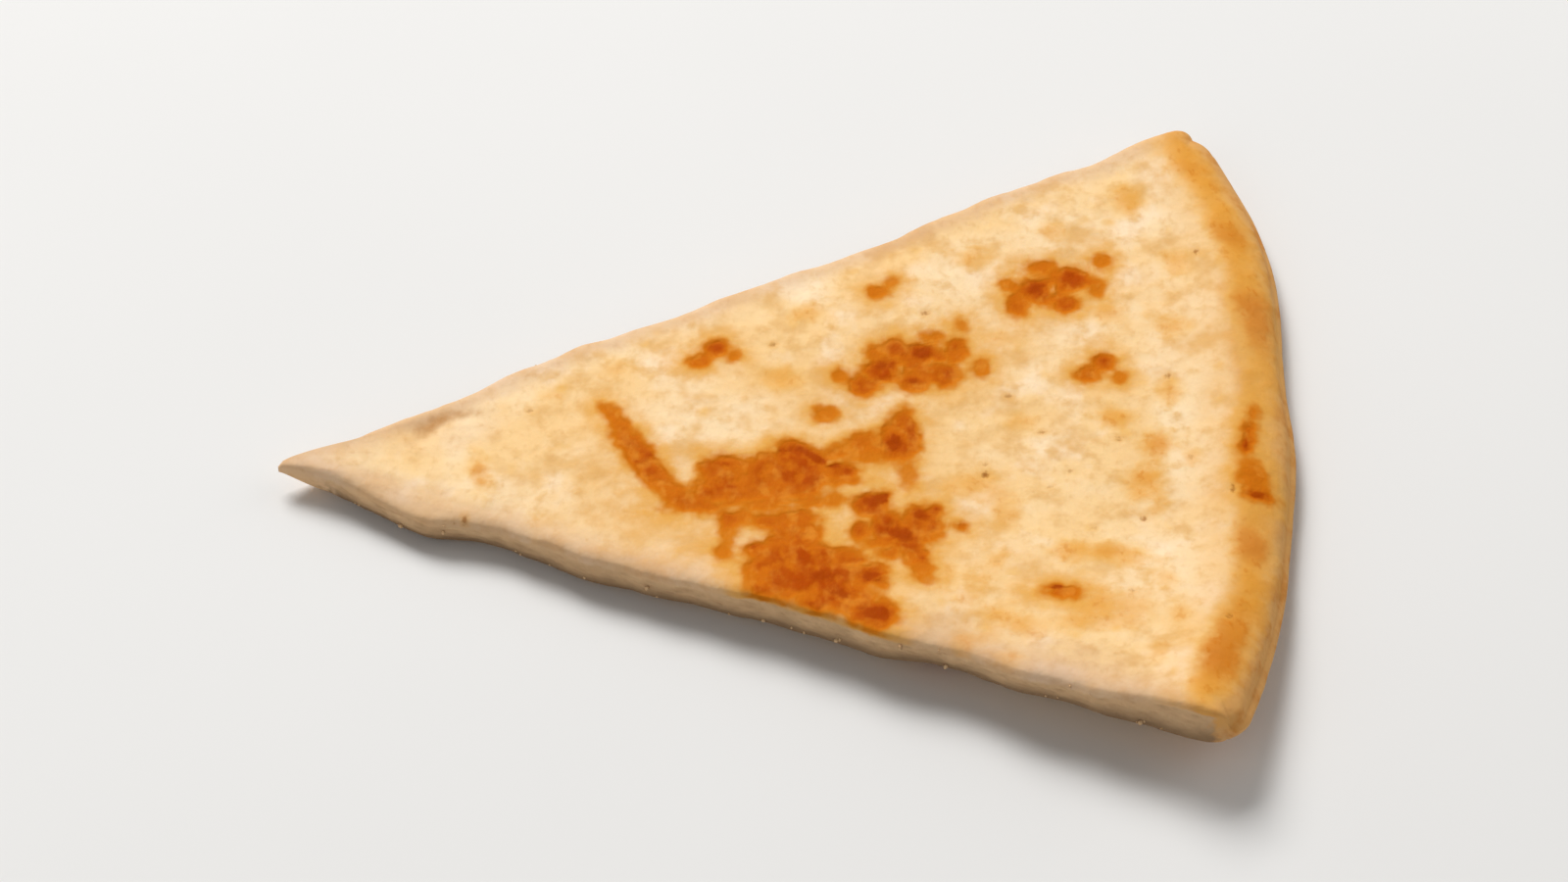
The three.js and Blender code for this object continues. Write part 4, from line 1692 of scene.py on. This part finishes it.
    def material(self) -> bpy.types.Material:
        """Builds the material.

        The mesh's values say how deep each point lies inside the browning, in millimetres.
        Noise is added to them before smooth steps turn them to colour, so edges come out lobed.

        Returns:
            The material.
        """
        graph = Graph("griddled_bread", BREAD_NOISES)
        toast = graph.stirred(graph.value("toast"), lobes=0.52, spots=0.12)
        browned = graph.step(toast, self.browned_over)
        torn = graph.stirred(graph.value("crumb"), spots=0.45, mottle=0.4)
        crumb = graph.product(
            graph.step(torn, self.torn), graph.step(graph.value("crumb"), self.torn_start)
        )
        self.lay_skin(graph)
        self.lay_tan(graph)
        self.lay_browning(graph, toast)
        pit = graph.stirred(graph.value("pit"), grains=0.2)
        for coat in (self.pit_ring, self.pit_hole):
            graph.lay(coat, pit, graph.value("pit_tone"))
        graph.cover(self.open_crumb(graph), crumb)
        rough = graph.mix(browned, self.skin_roughness, self.toast_roughness, Mixed.NUMBERS)
        rough = graph.mix(crumb, rough, self.crumb_roughness, Mixed.NUMBERS)
        crumb_height = graph.swings(mottle=0.1, spots=0.06, grains=0.03)
        height = graph.mix(crumb, self.height(graph, toast, browned), crumb_height, Mixed.NUMBERS)
        graph.relief(height, self.relief)
        self.spread_light(graph.shader)
        return graph.dress(graph.stirred(rough, spots=0.12), self.specular)

    def spread_light(self, shader: bpy.types.Node) -> None:
        """Sets what is the same all over: the gloss's tint, and light spreading under the skin.

        Args:
            shader: the surface shader.
        """
        shader.inputs["Specular Tint"].default_value = (*self.specular_tint, 1.0)
        shader.inputs["Subsurface Weight"].default_value = self.translucence
        shader.inputs["Subsurface Radius"].default_value = self.light_spread
        shader.inputs["Subsurface Scale"].default_value = self.light_reach

    def lay_skin(self, graph: Graph) -> None:
        """Lays the pale skin: cream and butter in clouds, flour, straw blotches and freckles.

        Args:
            graph: the material's nodes.
        """
        noises, speckle = graph.noises, graph.value("speckle")
        graph.colour = self.cream
        graph.lay(self.butter, noises["clouds"])
        graph.lay(self.flour, noises["dust"])
        graph.lay(self.blotches, noises["blotches"], speckle)
        graph.lay(self.mottles, noises["mottle"], speckle)
        near, chance = graph.cells(self.freckle_cells)
        near, chosen = graph.stirred(near, spots=0.25), graph.step(chance, self.freckle_chance)
        graph.lay(self.freckles, near, chosen, speckle)
        graph.lay(self.fine_spots, noises["spots"])
        graph.lay(self.fine_grains, noises["grains"])
        patchy = graph.step(noises["mottle"], self.skin_patches)
        graph.cover(self.warm, graph.value("warmth"), patchy)
        # Painted shade along the cuts' top edges.
        graph.lay(self.margin_shade, graph.stirred(graph.value("margin_shade"), mottle=1.2))
        # Duller skin at the tip, and painted shade beside the fold and along the front of the near cut.
        graph.cover(self.dull_and_shade, graph.value("dull_and_shade"), patchy)
        # Painted shade in the fold beside the tip.
        graph.lay(self.crease_shade, graph.stirred(graph.value("crease_shade"), spots=0.3))

    def lay_tan(self, graph: Graph) -> None:
        """Lays the lighter browning over the skin: the rim along the crust, and tan spots.

        Args:
            graph: the material's nodes.
        """
        inset, tone = graph.value("inset"), graph.value("tan_tone")
        inward = graph.stirred(inset, mottle=1.6, clouds=2.0)
        patchy = graph.step(graph.stirred(graph.noises["clouds"], mottle=0.35), self.rim_patches)
        graph.lay(self.rim_tinge, inward)
        graph.cover(graph.mix(patchy, self.rim_pale, self.rim), graph.step(inward, self.rim_reach))
        low = graph.step(graph.value("up_face"), self.edge_low)
        mottled = graph.step(graph.noises["mottle"], self.edge_mottle)
        edge = graph.mix(mottled, graph.mix(low, self.rim_edge, self.rim_low), self.rim)
        outer = graph.stirred(inset, clouds=2.0, mottle=0.7)
        graph.cover(edge, graph.step(outer, self.edge_reach))
        tan = graph.stirred(graph.value("tan"), lobes=0.52, spots=0.12, mottle=0.8)
        graph.lay(self.faint_tan, tan, tone)
        strong = graph.product(graph.step(tan, self.strong_tan), tone)
        graph.cover(graph.mix(graph.step(tone, self.darker_tan), self.tan, self.amber), strong)
        graph.lay(self.tan_specks, graph.noises["spots"], strong)

    def lay_browning(self, graph: Graph, toast: Socket) -> None:
        """Lays the browned spots over the skin.

        From the outside in come a broad warm tinge, a yellow halo, an orange fringe, light
        brown with gold in it and deep brown in blots, with a few scorched places.

        Args:
            graph: the material's nodes.
            toast: depth inside the browning, with noise on it.
        """
        tone = graph.value("toast_tone")
        graph.lay(self.tinge, toast)
        graph.lay(self.halo, toast, graph.step(graph.noises["mottle"], self.halo_patches))
        graph.lay(self.fringe, toast, graph.step(tone, self.fringe_tone))
        graph.lay(self.light, toast, graph.step(tone, self.light_tone))
        golden = graph.stirred(graph.noises["gold"], spots=0.1)
        graph.lay(self.gold, toast, graph.step(golden, self.gold_patches))
        uneven = graph.step(graph.stirred(graph.noises["blots"], spots=0.12), self.deep_patches)
        graph.lay(self.deep, toast, graph.step(tone, self.deep_tone), uneven)
        blots = graph.stirred(graph.value("blots"), spots=0.35, mottle=0.45)
        blots = graph.product(graph.step(blots, self.blot_edge), graph.step(toast, self.blot_depth))
        graph.cover(self.brown, blots)
        graph.lay(self.scorch, blots, blots)

    def open_crumb(self, graph: Graph) -> Socket:
        """The crumb's colour: fine layers, with painted shade in the pores and towards the underside.

        Args:
            graph: the material's nodes.

        Returns:
            The colour.
        """
        dark = graph.stirred(self.crumb_mean, layers=0.45, grains=0.1)
        # Painted shade in the pores.
        dark = graph.total(dark, graph.product(graph.value("pore"), self.pore_shade))
        colour = graph.mix(graph.step(dark, self.crumb_shade), self.crumb_light, self.crumb_dark)
        up = graph.stirred(graph.value("up_face"), mottle=0.25)
        # Painted shade: the crumb darkens down the face towards the underside.
        return graph.mix(graph.step(up, self.crumb_shade_fall), colour, self.crumb_shaded_low)

    def height(self, graph: Graph, toast: Socket, browned: Socket) -> Socket:
        """The skin's fine relief in millimetres: soft, and sunken and grainy where browned.

        Args:
            graph: the material's nodes.
            toast: depth inside the browning, with noise on it.
            browned: 1 where it is browned and 0 elsewhere.

        Returns:
            The height.
        """
        tone = graph.step(graph.value("toast_tone"), self.sunken_tone)
        return graph.total(
            graph.swings(mottle=0.13, spots=0.035, grains=0.007),
            graph.product(graph.step(toast, self.sunken), tone, self.sunken_depth),
            graph.product(browned, graph.swings(blots=0.1, spots=0.05)),
        )


@dataclass(frozen=True)
class CrumbFinish:
    """Loose dry crumb: pale, matt and grainy."""

    light: Colour = (226, 192, 148)
    dark: Coat = Coat((194, 154, 108), Ramp(0.25, 0.85))
    lumps: Cloud = Cloud(1.4)
    grains: Cloud = Cloud(0.25, 3.0, 0.6)
    roughness: float = 0.9
    relief: float = 0.8
    specular: float = 0.25

    def material(self) -> bpy.types.Material:
        """Builds the material: two colours in fine noise, with a grainy relief.

        Returns:
            The material.
        """
        graph = Graph("loose_crumb", {"lumps": self.lumps, "grains": self.grains})
        graph.colour = self.light
        graph.lay(self.dark, graph.stirred(graph.noises["lumps"], grains=0.5))
        graph.relief(graph.swings(grains=0.05), self.relief)
        return graph.dress(graph.stirred(self.roughness, grains=0.08), self.specular)


@dataclass(frozen=True)
class FloorFinish:
    """A plain pale matt tabletop."""

    pale: Colour = (232, 231, 229)
    shade: Colour = (228, 227, 225)
    clouds: Cloud = Cloud(60.0)
    roughness: float = 0.9
    specular: float = 0.2

    def material(self) -> bpy.types.Material:
        """Builds the material: one pale colour with a barely uneven tone.

        Returns:
            The material.
        """
        graph = Graph("pale_floor", {"clouds": self.clouds})
        graph.colour = self.pale
        graph.cover(self.shade, graph.noises["clouds"])
        return graph.dress(self.roughness, self.specular)


class Lamp(Enum):
    """The studio's soft lamps: place in metres, size in metres, watts."""

    KEY = ((-0.28, 0.62, 0.86), 0.55, 11.4)
    FILL = ((-0.75, -0.7, 0.7), 0.9, 1.6)
    RIM = ((0.9, 0.15, 0.6), 0.8, 2.0)


@dataclass
class Studio:
    """A pale floor, soft lamps and the camera."""

    floor_half: float = 3.0
    floor_level: float = -0.00003
    camera_place: tuple[float, float, float] = (-0.00455, -0.3564, 0.3824)
    camera_target: tuple[float, float, float] = (-0.00025, 0.0, 0.0035)
    camera_roll: float = -0.94
    lens: float = 134.0
    nearest: float = 0.01
    farthest: float = 20.0
    surround: tuple[float, float, float] = (1.0, 0.985, 0.965)
    surround_strength: float = 0.24

    def build_floor(self) -> bpy.types.Object:
        """Makes the floor: one flat square.

        Returns:
            The floor.
        """
        half = self.floor_half
        corners = [(-half, -half), (half, -half), (half, half), (-half, half)]
        points = np.array([(x, y, self.floor_level) for x, y in corners])
        floor = make_piece("floor", points, [[0, 1, 2, 3]])
        floor.data.materials.append(FloorFinish().material())
        return floor

    def build_lamp(self, lamp: Lamp) -> bpy.types.Object:
        """Makes one soft square lamp that faces the middle of the floor.

        Args:
            lamp: which lamp.

        Returns:
            The lamp.
        """
        place, size, watts = lamp.value
        light = bpy.data.lights.new(f"{lamp.name.lower()}_lamp", "AREA")
        light.size = size
        light.energy = watts
        holder = bpy.data.objects.new(light.name, light)
        holder.matrix_world = self.aimed(Vector(place), Vector((0.0, 0.0, 0.0)), 0.0)
        bpy.context.scene.collection.objects.link(holder)
        return holder

    def aimed(self, place: Vector, target: Vector, roll: float) -> Matrix:
        """A place and a turn that look at a target.

        Args:
            place: where it stands.
            target: what it looks at.
            roll: degrees about the line of sight.

        Returns:
            The matrix of the place and the turn.
        """
        turn = (target - place).to_track_quat("-Z", "Y").to_matrix().to_4x4()
        spin = Matrix.Rotation(math.radians(roll), 4, "Z")
        return Matrix.Translation(place) @ turn @ spin

    def build_camera(self) -> bpy.types.Object:
        """Makes the camera and gives it to the scene.

        Returns:
            The camera.
        """
        camera = bpy.data.cameras.new("camera")
        camera.lens = self.lens
        camera.clip_start = self.nearest
        camera.clip_end = self.farthest
        holder = bpy.data.objects.new("camera", camera)
        place, target = Vector(self.camera_place), Vector(self.camera_target)
        holder.matrix_world = self.aimed(place, target, self.camera_roll)
        bpy.context.scene.collection.objects.link(holder)
        bpy.context.scene.camera = holder
        return holder

    def build_surround(self) -> None:
        """Gives the world one even pale light and the scene a plain view transform."""
        world = bpy.data.worlds.new("surround")
        world.use_nodes = True
        background = world.node_tree.nodes["Background"]
        background.inputs["Color"].default_value = (*self.surround, 1.0)
        background.inputs["Strength"].default_value = self.surround_strength
        bpy.context.scene.world = world
        bpy.context.scene.view_settings.view_transform = "Standard"

    def build(self) -> list[bpy.types.Object]:
        """Makes the whole studio.

        Returns:
            The floor, the lamps and the camera.
        """
        self.build_surround()
        lamps = [self.build_lamp(lamp) for lamp in Lamp]
        return [self.build_floor(), *lamps, self.build_camera()]


def report(piece: bpy.types.Object) -> None:
    """Logs a piece's name, and its count of faces where it is a mesh."""
    faces = len(piece.data.polygons) if piece.type == "MESH" else 0
    log.info("%s: %s, %d faces", piece.name, piece.type.lower(), faces)


def main() -> None:
    """Builds the studio, the wedge and its crumbs in order, and reports each piece."""
    logging.basicConfig(level=logging.INFO, format="%(name)s: %(message)s")
    for piece in Studio().build():
        report(piece)
    wedge = Wedge()
    report(wedge.build(BreadFinish()))
    report(ClingingCrumbs(wedge).build(CrumbFinish()))


if __name__ == "__main__":
    main()
